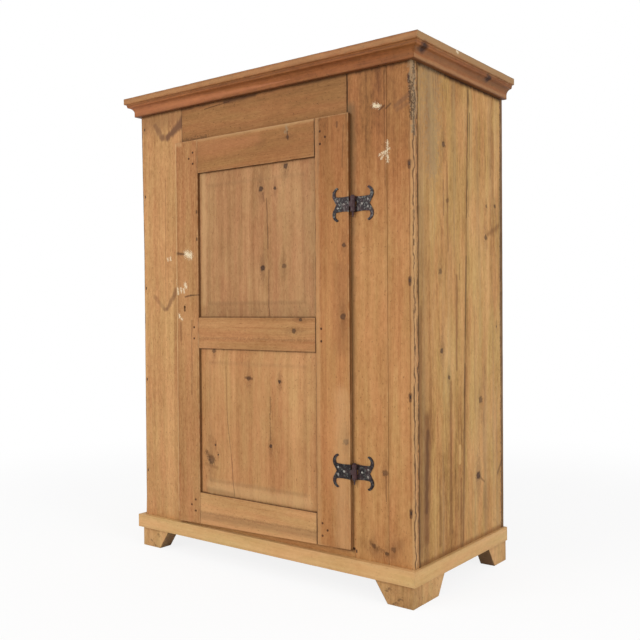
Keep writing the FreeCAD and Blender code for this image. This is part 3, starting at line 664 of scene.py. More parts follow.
    def _dress_edges(self, colour: Value, streak: Value) -> Value:
        """Paints dirt and shade on the board beside its joints and behind its face, and rubs its arrises
        pale.

        Args:
            colour: the board's colour so far.
            streak: noise along the grain that breaks both up.

        Returns:
            The new colour.
        """
        shader, timber = self.shader, self.timber
        low, high = self.box
        along_axis, across_axis, depth_axis = timber.grain.value
        gaps = [
            shader.least(self.place[axis] - low[axis], high[axis] - self.place[axis])
            for axis in (across_axis, along_axis, depth_axis)
        ]
        edge = shader.maths("MAXIMUM", shader.least(gaps[0], gaps[1]), gaps[2]) - timber.margin
        patchy = self._noise(self.across, self.RUBBED_PATCHES)
        # Dirt near the edges, and on the panels painted shade beside the frame.
        dirt_and_shade = shader.step(edge, timber.dark_edge_reach, 0.0) * (0.3 + streak) * timber.grime_and_shade
        colour = shader.mix(dirt_and_shade, colour, self.DARK_EDGE)
        if timber.arris:
            rubbed = shader.step(edge, self.EDGE_FAR, self.EDGE_NEAR) * patchy * timber.arris
            colour = shader.mix(rubbed, colour, self.WORN_EDGE)
        # Painted shade, with some dirt, on the faces a few millimetres behind the front face.
        if timber.recess_shade:
            behind = self.depth - low[depth_axis]
            shade = shader.step(behind, *self.SHALLOW) * shader.step(behind, *self.DEEP)
            colour = shader.mix(shade * timber.recess_shade, colour, self.CREVICE_SHADE)
        return colour


@dataclass(frozen=True)
class Iron:
    """Old forged iron: its black skin, where it is rubbed bright, and its rust.

    The dents, specks and patches are in waves per metre.
    """

    name: str
    black: Colour
    bright: Colour
    rust: Colour
    rusting: float = 0.4
    rubbing: float = 0.5
    roughness: float = 0.42
    hammer: float = 0.0009
    dents: float = 150.0
    specks: float = 420.0
    patches: float = 38.0
    knuckle: Spot = (0.011, 0.0075)

    def paint(self, rust_line: float | None = None) -> bpy.types.Material:
        """Builds the iron's material.

        Args:
            rust_line: the X of an upright line, such as a hinge's axis, that is rusted all over.

        Returns:
            The material.
        """
        material, shader = new_material(self.name)
        place = shader.object_place()
        dents = shader.noise(shader.vector(*(part * self.dents for part in place)), 3.0)
        specks = shader.noise(shader.vector(*(part * self.specks for part in place)), 3.0, 0.6)
        patches = shader.noise(shader.vector(*(part * self.patches + 7.0 for part in place)), 3.0, 0.6)
        rusty = shader.step(patches + 0.25 * (specks - 0.5), 0.46, 0.66) * self.rusting
        if rust_line is not None:
            rusty = rusty + 0.6 * shader.step(abs(place[X_AXIS] - rust_line), *self.knuckle)
        rubbed = shader.step(dents + 0.4 * (specks - 0.5), 0.5, 0.66) * self.rubbing
        colour = shader.mix(rubbed, self.black, self.bright)
        colour = shader.mix(rusty, colour, self.rust)
        roughness = self.roughness + 0.35 * (specks - 0.5) - 0.12 * rubbed + 0.3 * rusty
        metal = 0.85 - 0.7 * rusty
        height = 0.8 * dents + 0.2 * specks
        shader.finish_surface(colour, roughness, height, self.hammer, specular=0.5, metallic=metal)
        return material


class Bench:
    """Makes and works meshes, and sets finished pieces into the frame."""

    @staticmethod
    def slab(low: Vector, high: Vector) -> Mesh:
        """A plain board between two corners."""
        mesh = bmesh.new()
        bmesh.ops.create_cube(mesh, size=1.0)
        bmesh.ops.scale(mesh, vec=high - low, verts=mesh.verts)
        bmesh.ops.translate(mesh, vec=(low + high) / 2, verts=mesh.verts)
        return mesh

    @staticmethod
    def prism(outline: Sequence[Vector], travel: Vector) -> Mesh:
        """The closed mesh that a flat outline, carried along a straight line, sweeps."""
        mesh = bmesh.new()
        face = mesh.faces.new([mesh.verts.new(corner) for corner in outline])
        grown = bmesh.ops.extrude_face_region(mesh, geom=[face])["geom"]
        ends = [part for part in grown if isinstance(part, bmesh.types.BMVert)]
        bmesh.ops.translate(mesh, vec=travel, verts=ends)
        bmesh.ops.recalc_face_normals(mesh, faces=mesh.faces)
        return mesh

    @classmethod
    def board(cls, corners: Sequence[Spot], node: str, axis: int) -> Mesh:
        """A board with its own outline, as thick along an axis as its node is."""
        low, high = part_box(node)
        travel = Vector((0.0, 0.0, 0.0))
        travel[axis] = high[axis] - low[axis]
        outline = [Vector((*corner[:axis], low[axis], *corner[axis:])) for corner in corners]
        return cls.prism(outline, travel)

    @staticmethod
    def copied(node: str) -> Mesh:
        """A merged copy of a CAD node, with its flat faces whole again."""
        mesh = bmesh.new()
        mesh.from_mesh(frame["nodes"][node].data)
        bmesh.ops.remove_doubles(mesh, verts=mesh.verts, dist=MERGE_GAP)
        bmesh.ops.dissolve_limit(
            mesh, angle_limit=FLAT_ANGLE, verts=mesh.verts, edges=mesh.edges, delimit={"NORMAL"}
        )
        return mesh

    @staticmethod
    def cut(mesh: Mesh, axis: int, place: float) -> None:
        """Scores a mesh all round with a plane square to an axis."""
        normal = Vector((0.0, 0.0, 0.0))
        normal[axis] = 1.0
        parts = mesh.verts[:] + mesh.edges[:] + mesh.faces[:]
        bmesh.ops.bisect_plane(mesh, geom=parts, dist=CUT_GAP, plane_co=normal * place, plane_no=normal)

    @staticmethod
    def ease(mesh: Mesh, radius: float, segments: int = 2,
             chosen: Callable[[bmesh.types.BMEdge], bool] = lambda edge: True) -> None:
        """Rounds sharp edges and shades the rounding smooth.

        Args:
            mesh: the mesh.
            radius: how far back each edge is taken.
            segments: how many faces make the rounding.
            chosen: True for the sharp edges that are rounded.
        """
        sharp = [
            edge for edge in mesh.edges
            if len(edge.link_faces) == 2 and edge.calc_face_angle() > SHARP_ANGLE and chosen(edge)
        ]
        rounded = bmesh.ops.bevel(
            mesh, geom=sharp, offset=radius, offset_type="OFFSET", affect="EDGES",
            segments=segments, profile=0.5, material=-1, clamp_overlap=True,
        )
        for face in rounded["faces"]:
            face.smooth = True

    @classmethod
    def slice_along(cls, mesh: Mesh, axis: int, pitch: float) -> None:
        """Scores a board at even steps along its grain, so that its edges can be worn."""
        places = [vert.co[axis] for vert in mesh.verts]
        low, high = min(places), max(places)
        count = max(2, round((high - low) / pitch))
        for step in range(1, count):
            cls.cut(mesh, axis, low + (high - low) * step / count)

    @staticmethod
    def wear(mesh: Mesh, depth: float, seed: int,
             where: Callable[[Vector], float] = lambda place: 1.0) -> None:
        """Chews and rubs the edges inwards, unevenly.

        Args:
            mesh: the mesh, whose points lie on its eased edges.
            depth: how deep the deepest hollow goes.
            seed: the board's own number.
            where: the share of that depth at a place.
        """
        mesh.normal_update()
        shift = Vector([seed * stride for stride in SEED_STRIDES])
        moves = []
        for vert in mesh.verts:
            broad = noise.noise(vert.co * BROAD_WAVES + shift)
            fine = noise.noise(vert.co * FINE_WAVES + shift)
            hollow = max(0.0, 0.35 + 0.8 * broad) * (0.55 + 0.6 * fine)
            moves.append(vert.normal * (-depth * max(0.0, hollow) * where(vert.co)))
        for vert, move in zip(mesh.verts, moves):
            vert.co += move

    @staticmethod
    def place(mesh: Mesh, node: str, material: bpy.types.Material) -> bpy.types.Object:
        """Turns a mesh into the piece that stands for a node, on the node's body, with its finish.

        Args:
            mesh: the finished mesh, which is freed.
            node: the CAD node that it replaces.
            material: its finish.

        Returns:
            The piece.
        """
        name = f"{node}.{SEEN_SUFFIX}"
        data = bpy.data.meshes.new(name)
        mesh.to_mesh(data)
        mesh.free()
        data.materials.append(material)
        piece = bpy.data.objects.new(name, data)
        bpy.context.scene.collection.objects.link(piece)
        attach(piece, frame["nodes"][node]["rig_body"])
        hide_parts(node)
        log.info("%s: %d faces", name, len(data.polygons))
        return piece

    @staticmethod
    def carve(piece: bpy.types.Object, cutter: Mesh, overlapping: bool = False) -> None:
        """Takes the shape of a cutter out of a piece.

        Args:
            piece: the piece, whose mesh is replaced.
            cutter: a closed mesh, which is freed.
            overlapping: True if the cutter is made of meshes that overlap.
        """
        data = bpy.data.meshes.new("cutter")
        cutter.to_mesh(data)
        cutter.free()
        tool = bpy.data.objects.new("cutter", data)
        bpy.context.scene.collection.objects.link(tool)
        carving = piece.modifiers.new("carving", "BOOLEAN")
        carving.operation, carving.solver, carving.use_self = "DIFFERENCE", "EXACT", overlapping
        carving.object = tool
        piece.data = bpy.data.meshes.new_from_object(
            piece.evaluated_get(bpy.context.evaluated_depsgraph_get())
        )
        piece.modifiers.clear()
        bpy.data.objects.remove(tool)


def mesh_box(mesh: Mesh) -> Box:
    """The lowest and highest corners of a mesh."""
    low = Vector([min(vert.co[axis] for vert in mesh.verts) for axis in range(3)])
    high = Vector([max(vert.co[axis] for vert in mesh.verts) for axis in range(3)])
    return low, high


FRONT_PINE = Pine(
    "front_pine", tint(210, 162, 108), tint(188, 137, 87), tint(160, 108, 63), tint(108, 66, 36)
)
LEFT_PINE = Pine(
    "left_pine", tint(210, 163, 111), tint(189, 141, 93), tint(162, 113, 70), tint(110, 70, 42),
    streaks=0.7, mottle=0.42, grit=0.6, fibre=0.6,
)
FRIEZE_PINE = Pine(
    "frieze_pine", tint(176, 127, 78), tint(153, 106, 63), tint(132, 88, 50), tint(92, 58, 32),
    streaks=0.36, grit=0.5, pits=0.7,
)
DOOR_PINE = Pine(
    "door_pine", tint(204, 157, 107), tint(183, 134, 88), tint(157, 107, 65), tint(106, 66, 38)
)
LATCH_PINE = replace(DOOR_PINE, name="latch_pine", grit=0.62, fibre=0.5)
STILE_PINE = Pine(
    "stile_pine", tint(201, 150, 97), tint(180, 127, 79), tint(154, 101, 58), tint(104, 62, 33)
)
UPPER_PINE = Pine(
    "upper_pine", tint(201, 157, 112), tint(180, 135, 93), tint(154, 109, 71), tint(104, 68, 43)
)
SIDE_PINE = Pine(
    "side_pine", tint(207, 166, 112), tint(185, 142, 90), tint(152, 110, 65), tint(94, 63, 37),
    figure=Pattern(30.0, 1.8, 3.0), streaks=0.75, blotches=0.6, mottle=0.4, grit=0.5, hairs=0.24,
    fibre=0.42, pits=0.3, hues=((0.965, 1.0, 0.88), (1.06, 0.96, 0.92)), weathering=0.26,
    roughness=0.6, relief=0.0009,
)
CORNICE_PINE = Pine(
    "cornice_pine", tint(172, 114, 66), tint(148, 92, 51), tint(122, 73, 39), tint(78, 43, 22),
    rings=0.1, roughness=0.46,
)
PLINTH_PINE = Pine(
    "plinth_pine", tint(228, 190, 137), tint(211, 170, 117), tint(191, 147, 94), tint(152, 108, 66),
    rings=0.1, streaks=0.4, blotches=0.35, mottle=0.3, grit=0.3, hairs=0.05, pits=0.25,
)
FOOT_PINE = Pine(
    "foot_pine", tint(216, 176, 124), tint(192, 150, 101), tint(160, 120, 78), tint(106, 72, 43),
    rings=0.05, streaks=0.3, blotches=0.7, mottle=0.5, grit=0.5, hairs=0.04, roughness=0.56,
)
INSIDE_PINE = Pine(
    "inside_pine", tint(210, 172, 124), tint(188, 146, 100), tint(158, 116, 76), tint(110, 76, 48),
    roughness=0.62,
)
BACK_PINE = Pine(
    "back_pine", tint(172, 138, 98), tint(142, 109, 75), tint(112, 83, 56), tint(74, 54, 37),
    streaks=0.7, weathering=0.3, roughness=0.7, relief=0.0012,
)
PEG_WOOD = Pine(
    "peg_wood", tint(108, 70, 44), tint(86, 54, 33), tint(68, 42, 26), tint(46, 28, 17), roughness=0.6
)
HINGE_IRON = Iron("hinge_iron", tint(40, 35, 36), tint(112, 113, 106), tint(74, 44, 45))
NAIL_IRON = Iron("nail_iron", tint(54, 38, 30), tint(96, 78, 64), tint(72, 42, 28), rusting=0.8)
HEAD_IRON = Iron(
    "head_iron", tint(128, 122, 116), tint(216, 214, 204), tint(96, 66, 60), rusting=0.25, rubbing=0.95
)
LOCK_IRON = Iron("lock_iron", tint(58, 52, 48), tint(126, 120, 112), tint(98, 60, 40), rusting=0.7)


@dataclass(frozen=True)
class Working:
    """How a board's edges are worked: rounding, spacing of the worn points and depth of wear."""

    ease: float = 0.0013
    pitch: float = 0.012
    wear: float = 0.0007


ROUGH_WORKING = Working(ease=0.0012, pitch=0.04, wear=0.0008)


def finish_board(mesh: Mesh, timber: Timber, working: Working = Working(),
                 where: Callable[[Vector], float] = lambda place: 1.0,
                 chosen: Callable[[bmesh.types.BMEdge], bool] = lambda edge: True) -> bpy.types.Object:
    """Eases and wears a board's edges, paints it and sets it in place.

    Args:
        mesh: the board with sharp edges.
        timber: what the board is.
        working: how its edges are worked.
        where: the share of the wear at a place.
        chosen: True for the sharp edges that are eased.

    Returns:
        The finished piece.
    """
    box = mesh_box(mesh)
    Bench.ease(mesh, working.ease, chosen=chosen)
    Bench.slice_along(mesh, timber.grain.along, working.pitch)
    Bench.wear(mesh, working.wear, timber.seed, where)
    return Bench.place(mesh, timber.node, PineShader(timber, box).paint())


def plain_board(timber: Timber, working: Working = ROUGH_WORKING, stand_back: float = 0.0003) -> None:
    """A board that fills its node's box, but whose long edges stand back from their neighbours."""
    low, high = (corner.copy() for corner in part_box(timber.node))
    across = timber.grain.across
    low[across] += stand_back
    high[across] -= stand_back
    finish_board(Bench.slab(low, high), timber, working)


@dataclass
class Front:
    """The plank front: wide planks at both sides, the rails over and under the door, and cut nails."""

    seam: float = 0.0003
    hollow_edge: tuple[Spot, ...] = ((0.005, 0.0), (0.009, 0.110), (0.009, 1.047), (0.0, 1.607))
    corner_round: float = 0.005
    corner_wear: float = 0.0022
    corner_reach: float = 0.012
    nail_x: tuple[float, float] = (-0.5785, 0.5865)
    nail_heights: tuple[float, ...] = (0.287, 0.634, 0.981, 1.328, 1.582)
    rail_nails: tuple[Spot, ...] = ((-0.4035, 0.140), (0.3885, 0.140))
    nail_half: Vector = field(default_factory=lambda: Vector((0.0024, 0.0012, 0.0052)))
    nail_proud: float = 0.0005
    nail_ease: float = 0.0007
    pocket: float = 0.014
    bolt_play: float = 0.001

    def build(self) -> None:
        """Builds the planks, the rails and the nails."""
        self.left_plank()
        self.right_plank_inner()
        self.right_plank_outer()
        self.rails()
        self.nails()

    def nail_stains(self, x: float, strength: float) -> tuple[Mark, ...]:
        """Rust that has bled round and below the nails of one side."""
        return tuple(
            RUST((x, z + 0.006), (x, z - 0.012), 0.0105, strength, taper=0.7)
            for z in self.nail_heights
        )

    @staticmethod
    def right_paint() -> tuple[Mark, ...]:
        """Flecks of cream paint and small dark scars on both sides of the right plank's seam."""
        return (
            PAINT((0.463, 1.519), (0.480, 1.512), 0.0065, 0.95),
            GRIME_AND_SHADE((0.484, 1.502), (0.499, 1.512), 0.005, 0.7),
            GRIME_AND_SHADE((0.506, 1.503), (0.522, 1.514), 0.005, 0.6),
            PAINT((0.509, 1.402), (0.511, 1.340), 0.0045, 0.75),
            PAINT((0.480, 1.363), (0.516, 1.380), 0.0036, 0.7),
            PAINT((0.487, 1.352), (0.506, 1.374), 0.0034, 0.7),
        )

    @staticmethod
    def under_cornice() -> Mark:
        """The painted shadow below the cornice, a dark line."""
        return GRIME_AND_SHADE((-0.62, 1.634), (0.62, 1.634), 0.014, 0.85)

    def left_plank(self) -> None:
        """The wide left plank, its outer edge worn hollow, notched over the end of the bottom rail."""
        low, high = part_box("left_front_plank")
        rail_low, rail_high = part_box("bottom_rail")
        inner, notch = high.x - self.seam, rail_low.x - self.seam
        corners = [(low.x + inset, low.z + rise) for inset, rise in self.hollow_edge]
        corners += [(inner, high.z), (inner, rail_high.z), (notch, rail_high.z), (notch, low.z)]
        timber = Timber(
            "left_front_plank", LEFT_PINE, Grain.UPRIGHT_FRONT, tone=-0.07, top_darkening=0.08,
            marks=self.nail_stains(self.nail_x[0], 0.12) + (
                self.under_cornice(),
                EDGE(corners[3], corners[2], 0.006, 0.8),
                EDGE(corners[2], corners[0], 0.006, 0.8),
                BAND((-0.60, 1.612), (-0.36, 1.600), 0.075, 0.5),
                SPIKE((-0.520, 1.588), (-0.480, 1.540), 0.015, 0.6, taper=1.2),
                SPIKE((-0.484, 1.540), (-0.452, 1.536), 0.018, 0.55),
                SPIKE((-0.453, 1.538), (-0.368, 1.588), 0.016, 1.0, taper=1.8),
                SHADE((-0.401, 0.94), (-0.401, 0.18), 0.008, 0.55),
                SPIKE((-0.531, 0.947), (-0.478, 0.902), 0.012, 0.36),
                SPIKE((-0.480, 0.900), (-0.462, 0.900), 0.012, 0.4),
                SPIKE((-0.465, 0.902), (-0.412, 0.968), 0.010, 0.6, taper=1.9),
                BAND((-0.466, 1.38), (-0.471, 0.91), 0.0026, 0.6),
                PAINT((-0.458, 1.089), (-0.456, 1.082), 0.0040, 0.8),
                PAINT((-0.445, 1.091), (-0.442, 1.083), 0.0040, 0.85),
                PAINT((-0.410, 1.012), (-0.409, 0.992), 0.0034, 0.7),
            ),
        )
        plank = finish_board(Bench.board(corners, timber.node, Y_AXIS), timber)
        self.sink_strike(plank, high.x)

    def sink_strike(self, plank: bpy.types.Object, edge: float) -> None:
        """Sinks the seat of the strike plate and the pocket for the bolt into a plank's edge."""
        past = Vector((self.pocket, 0.0, 0.0))
        play = Vector((0.0, self.bolt_play, self.bolt_play))
        seat_low, seat_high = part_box("lock_strike")
        bolt_low, bolt_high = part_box("lock_bolt")
        bolt_low, bolt_high = bolt_low.copy(), bolt_high.copy()
        bolt_low.x = bolt_high.x = edge
        Bench.carve(plank, Bench.slab(seat_low, seat_high + past))
        Bench.carve(plank, Bench.slab(bolt_low - past - play, bolt_high + past + play))

    def right_plank_inner(self) -> None:
        """The inner board of the right plank, notched over the end of the bottom rail."""
        low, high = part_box("right_front_plank_inner")
        rail_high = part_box("bottom_rail")[1]
        inner, notch, outer = low.x + self.seam, rail_high.x + self.seam, high.x - self.seam
        corners = [
            (outer, low.z), (notch, low.z), (notch, rail_high.z),
            (inner, rail_high.z), (inner, high.z), (outer, high.z),
        ]
        timber = Timber(
            "right_front_plank_inner", FRONT_PINE, Grain.UPRIGHT_FRONT, tone=0.03, top_darkening=0.36, arris=0.1,
            knots=(
                Knot((0.495, 0.397), 0.011, 0.64), Knot((0.453, 0.167), 0.008, 0.7),
                Knot((0.500, 0.151), 0.007, 0.64),
            ),
            marks=self.right_paint() + (
                self.under_cornice(),
                CRACK_AND_SHADE((0.498, 0.385), (0.499, 0.31), 0.0018, 0.5),
                CRACK_AND_SHADE((0.498, 1.64), (0.502, 1.27), 0.0018, 0.35),
                CRACK_AND_SHADE((inner, 1.64), (inner, 1.51), 0.0036, 0.9),
                SHADE((inner + 0.010, 1.52), (inner + 0.010, 0.15), 0.038, 0.75, taper=0.3),
                BAND((0.440, 0.178), (0.462, 0.156), 0.014, 0.6),
                BAND((0.410, 0.170), (0.470, 0.140), 0.030, 0.3),
                SPECK((0.445, 0.172), (0.500, 0.150), 0.008, 0.35),
            ),
        )
        finish_board(Bench.board(corners, timber.node, Y_AXIS), timber)

    def right_plank_outer(self) -> None:
        """The outer board of the right plank, whose corner is worn round and ragged."""
        node = "right_front_plank_outer"
        low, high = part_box(node)
        foot, top, ragged_from = low.z, high.z, 1.42
        timber = Timber(
            node, FRONT_PINE, Grain.UPRIGHT_FRONT, top_darkening=0.36, arris=0.0,
            knots=(Knot((0.525, 0.167), 0.009, 0.66),),
            marks=self.nail_stains(self.nail_x[1], 0.85) + self.right_paint() + (
                self.under_cornice(),
                SPIKE((0.540, 1.505), (0.590, 1.532), 0.011, 0.6, taper=1.3),
                SPIKE((0.545, 1.492), (0.588, 1.507), 0.009, 0.45),
                BAND((self.nail_x[1], 1.45), (self.nail_x[1], 0.22), 0.0034, 0.6),
                BAND((0.515, 0.150), (0.550, 0.190), 0.026, 0.4),
                BLEACH_AND_LIGHT((high.x - 0.003, top), (high.x - 0.003, foot), 0.008, 0.35),
                GREY((high.x - 0.004, top), (high.x, ragged_from), 0.016, 0.6, taper=0.3),
                SPECK((0.590, 1.570), (0.595, 1.460), 0.007, 0.8),
                BLEACH_AND_LIGHT((-0.272, top), (-0.272, foot), 0.016, 0.3, on_edge=True),
                GREY((-0.272, top), (-0.272, ragged_from), 0.016, 0.6, on_edge=True),
                SPECK((-0.276, top), (-0.274, ragged_from), 0.007, 0.7, on_edge=True),
                EDGE((-0.280, ragged_from), (-0.279, foot), 0.0050, 0.85, on_edge=True),
                EDGE((-0.268, 1.50), (-0.266, foot), 0.0030, 0.4, on_edge=True),
                EDGE((-0.2575, top), (-0.2575, foot), 0.0040, 0.9, taper=1.6, on_edge=True),
            ),
        )
        mesh = Bench.slab(Vector((low.x + self.seam, low.y, low.z)), high)
        right, front = high.x - MERGE_GAP, low.y + MERGE_GAP
        Bench.ease(
            mesh, self.corner_round, 4,
            lambda edge: all(vert.co.x > right and vert.co.y < front for vert in edge.verts),
        )
        ragged = Working(ease=0.0013, pitch=0.009, wear=self.corner_wear)
        finish_board(
            mesh, timber, ragged, lambda place: 1.0 if place.x > high.x - self.corner_reach else 0.2
        )

    def rails(self) -> None:
        """The frieze over the door, its tenons hidden, and the rail under the door."""
        left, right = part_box("left_front_plank")[1].x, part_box("right_front_plank_inner")[0].x
        low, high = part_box("frieze_rail")
        frieze = Timber(
            "frieze_rail", FRIEZE_PINE, Grain.LEVEL_FRONT, tone=0.04, arris=0.1,
            marks=(
                self.under_cornice(),
                SPECK((-0.375, 1.513), (-0.25, 1.514), 0.010, 0.45),
                CRACK_AND_SHADE((-0.26, 1.613), (-0.14, 1.622), 0.0024, 0.6),
                GRIME_AND_SHADE((-0.16, 1.622), (-0.02, 1.628), 0.012, 0.6),
                CRACK_AND_SHADE((left, 1.64), (left, 1.50), 0.0024, 0.6),
                CRACK_AND_SHADE((right, 1.64), (right, 1.50), 0.0030, 0.9),
            ),
        )
        mesh = Bench.slab(
            Vector((left + self.seam, low.y, low.z)), Vector((right - self.seam, high.y, high.z))
        )
        finish_board(mesh, frieze)
        bottom = Timber(
            "bottom_rail", FRONT_PINE, Grain.LEVEL_FRONT, tone=0.02, arris=0.1,
            marks=(
                # Painted shadow under the door's lip, with some dirt: a dark band and line along the rail's
                # top, widening to the right.
                GRIME_AND_SHADE((-0.40, 0.156), (0.40, 0.156), 0.014, 0.95, taper=2.2),
                CRACK_AND_SHADE((-0.40, 0.154), (0.40, 0.152), 0.006, 0.9, taper=2.2),
            ),
        )
        plain_board(bottom, Working())

    def nails(self) -> None:
        """The hammered heads of the cut nails, a little proud of the planks."""
        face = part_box("left_front_plank")[0].y
        spots = [(x, z) for x in self.nail_x for z in self.nail_heights]
        heads = bmesh.new()
        for x, z in (*spots, *self.rail_nails):
            before = set(heads.verts)
            bmesh.ops.create_cube(heads, size=2.0)
            head = [vert for vert in heads.verts if vert not in before]
            bmesh.ops.scale(heads, vec=self.nail_half, verts=head)
            middle = Vector((x, face + self.nail_half.y - self.nail_proud, z))
            bmesh.ops.translate(heads, vec=middle, verts=head)
        Bench.ease(heads, self.nail_ease)
        Bench.place(heads, "front_plank_nails", NAIL_IRON.paint())


@dataclass
class Carcase:
    """The sides with their leaning seams, the back, the top and the floor."""

    seam: float = 0.0002

    def build(self) -> None:
        """Builds the sides, then the boards that nothing is special about."""
        for side in ("left", "right"):
            self.side(side)
        for number in range(1, 6):
            plain_board(Timber(
                f"back_board_{number}", BACK_PINE, Grain.UPRIGHT_FRONT, pith_depth=-0.06,
                tone=0.08 * (number % 3 - 1), grime_and_shade=0.8,
            ))
        for place, tone in (("front", 0.1), ("rear", 0.02)):
            plain_board(Timber(f"top_board_{place}", BACK_PINE, Grain.LEVEL_TOP, tone=tone))
            plain_board(Timber(f"floor_board_{place}", INSIDE_PINE, Grain.LEVEL_TOP, tone=tone))
        for side in ("left", "right"):
            plain_board(Timber(f"floor_cleat_{side}", INSIDE_PINE, Grain.LEVEL_SIDE))

    def side(self, side: str) -> None:
        """One side of two boards, whose seam leans back as it rises."""
        low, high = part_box(f"{side}_side_front_board")
        rear_low, rear_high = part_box(f"{side}_side_rear_board")
        seam_top, seam_foot = high.y, rear_low.y
        front = [
            (low.y, low.z), (seam_foot - self.seam, low.z),
            (seam_top - self.seam, high.z), (low.y, high.z),
        ]
        rear = [
            (seam_foot + self.seam, low.z), (rear_high.y, low.z),
            (rear_high.y, high.z), (seam_top + self.seam, high.z),
        ]
        line = (front[2], front[1])
        for corners, timber in zip((front, rear), self.side_timbers(side, line)):
            mesh = Bench.board(corners, timber.node, X_AXIS)
            finish_board(mesh, timber, Working(ease=0.0015, wear=0.001))

    @staticmethod
    def side_timbers(side: str, line: tuple[Spot, Spot]) -> tuple[Timber, Timber]:
        """The front and the rear board of one side; the right one's marks are the photographed ones.

        Args:
            side: left or right.
            line: the seam's top and foot.

        Returns:
            Both boards.
        """
        front, rear = f"{side}_side_front_board", f"{side}_side_rear_board"
        top, foot = (Vector(end) for end in line)
        seam = tuple(
            EDGE(tuple(top.lerp(foot, start)), tuple(top.lerp(foot, end)), 0.0055, 0.6)
            for start, end in ((0.04, 0.3), (0.38, 0.55), (0.6, 0.75))
        )
        both = seam + (
            # Painted shadow below the cornice, a dark line along the top.
            GRIME_AND_SHADE((-0.30, 1.632), (0.34, 1.632), 0.018, 1.0),
            BAND((-0.27, 0.124), (0.34, 0.124), 0.014, 0.6),
            SHADE(*line, 0.012, 0.35),
        )
        if side == "left":
            return (
                Timber(front, SIDE_PINE, Grain.UPRIGHT_SIDE, tone=0.02, arris=0.1, marks=both,
                       knots=(Knot((-0.14, 1.28), 0.010, 0.81), Knot((-0.05, 0.63), 0.009, 0.81))),
                Timber(rear, SIDE_PINE, Grain.UPRIGHT_SIDE, arris=0.1, marks=both,
                       knots=(Knot((0.17, 0.94), 0.011, 0.81), Knot((0.24, 0.37), 0.009, 0.81))),
            )
        return (
            Timber(
                front, SIDE_PINE, Grain.UPRIGHT_SIDE, tone=0.04, pith_depth=-0.07, arris=0.1,
                marks=both + (
                    GRIME_AND_SHADE((-0.2545, 1.64), (-0.2545, 0.12), 0.0045, 0.75, taper=1.7),
                    SHADE((-0.215, 1.62), (-0.225, 0.15), 0.045, 0.25),
                    GREY((-0.175, 1.62), (-0.165, 1.33), 0.085, 0.4, taper=0.6),
                    BAND((-0.203, 0.56), (-0.212, 0.20), 0.032, 0.75),
                    RUST((-0.205, 0.52), (-0.212, 0.28), 0.013, 0.5),
                    BAND((-0.245, 0.90), (-0.245, 0.15), 0.014, 0.5),
                    BAND((-0.13, 0.36), (-0.125, 0.16), 0.014, 0.5),
                    BAND((-0.075, 1.36), (-0.070, 1.08), 0.008, 0.5),
                    BAND((-0.055, 0.66), (-0.060, 0.18), 0.014, 0.55),
                    BAND((-0.012, 1.00), (-0.016, 0.70), 0.010, 0.65),
                    BAND((0.012, 0.34), (0.010, 0.12), 0.012, 0.6),
                    RUST((-0.100, 1.30), (-0.098, 1.19), 0.004, 0.5),
                    CRACK_AND_SHADE((0.006, 1.04), (0.006, 0.99), 0.0022, 0.6),
                    PATCH((0.004, 0.446), (0.004, 0.398), 0.010, 0.55),
                ),
                knots=(
                    Knot((-0.096, 1.411), 0.011, 0.81), Knot((-0.072, 1.238), 0.009, 0.61),
                    Knot((-0.120, 1.013), 0.010, 0.68), Knot((-0.113, 0.765), 0.010, 0.81),
                    Knot((-0.067, 0.678), 0.008, 0.74),
                ),
            ),
            Timber(
                rear, SIDE_PINE, Grain.UPRIGHT_SIDE, tone=-0.04, pith_depth=-0.08, arris=0.1,
                marks=both + (
                    GRIME_AND_SHADE((0.082, 1.54), (0.072, 1.20), 0.005, 0.6, taper=0.5),
                    BAND((0.045, 0.70), (0.026, 0.14), 0.012, 0.55),
                    BAND((0.11, 0.90), (0.112, 0.55), 0.010, 0.3),
                    BAND((0.26, 1.5), (0.255, 1.15), 0.012, 0.4),
                    BAND((0.215, 1.150), (0.300, 1.185), 0.016, 0.55),
                    GRIME_AND_SHADE((0.3165, 1.64), (0.3165, 0.12), 0.010, 0.6),
                    SPECK((0.3165, 1.64), (0.3165, 0.12), 0.008, 0.6),
                    GRIME_AND_SHADE((0.140, 0.330), (0.180, 0.305), 0.009, 0.5, taper=0.6),
                    GRIME_AND_SHADE((0.285, 0.318), (0.310, 0.350), 0.012, 0.5),
                ),
                knots=(
                    Knot((0.203, 1.245), 0.007, 0.68), Knot((0.270, 1.251), 0.007, 0.81),
                    Knot((0.197, 1.139), 0.011, 0.74), Knot((0.155, 0.587), 0.013, 0.68),
                    Knot((0.279, 0.832), 0.004, 0.81), Knot((0.135, 0.332), 0.015, 0.95),
                ),
            ),
        )


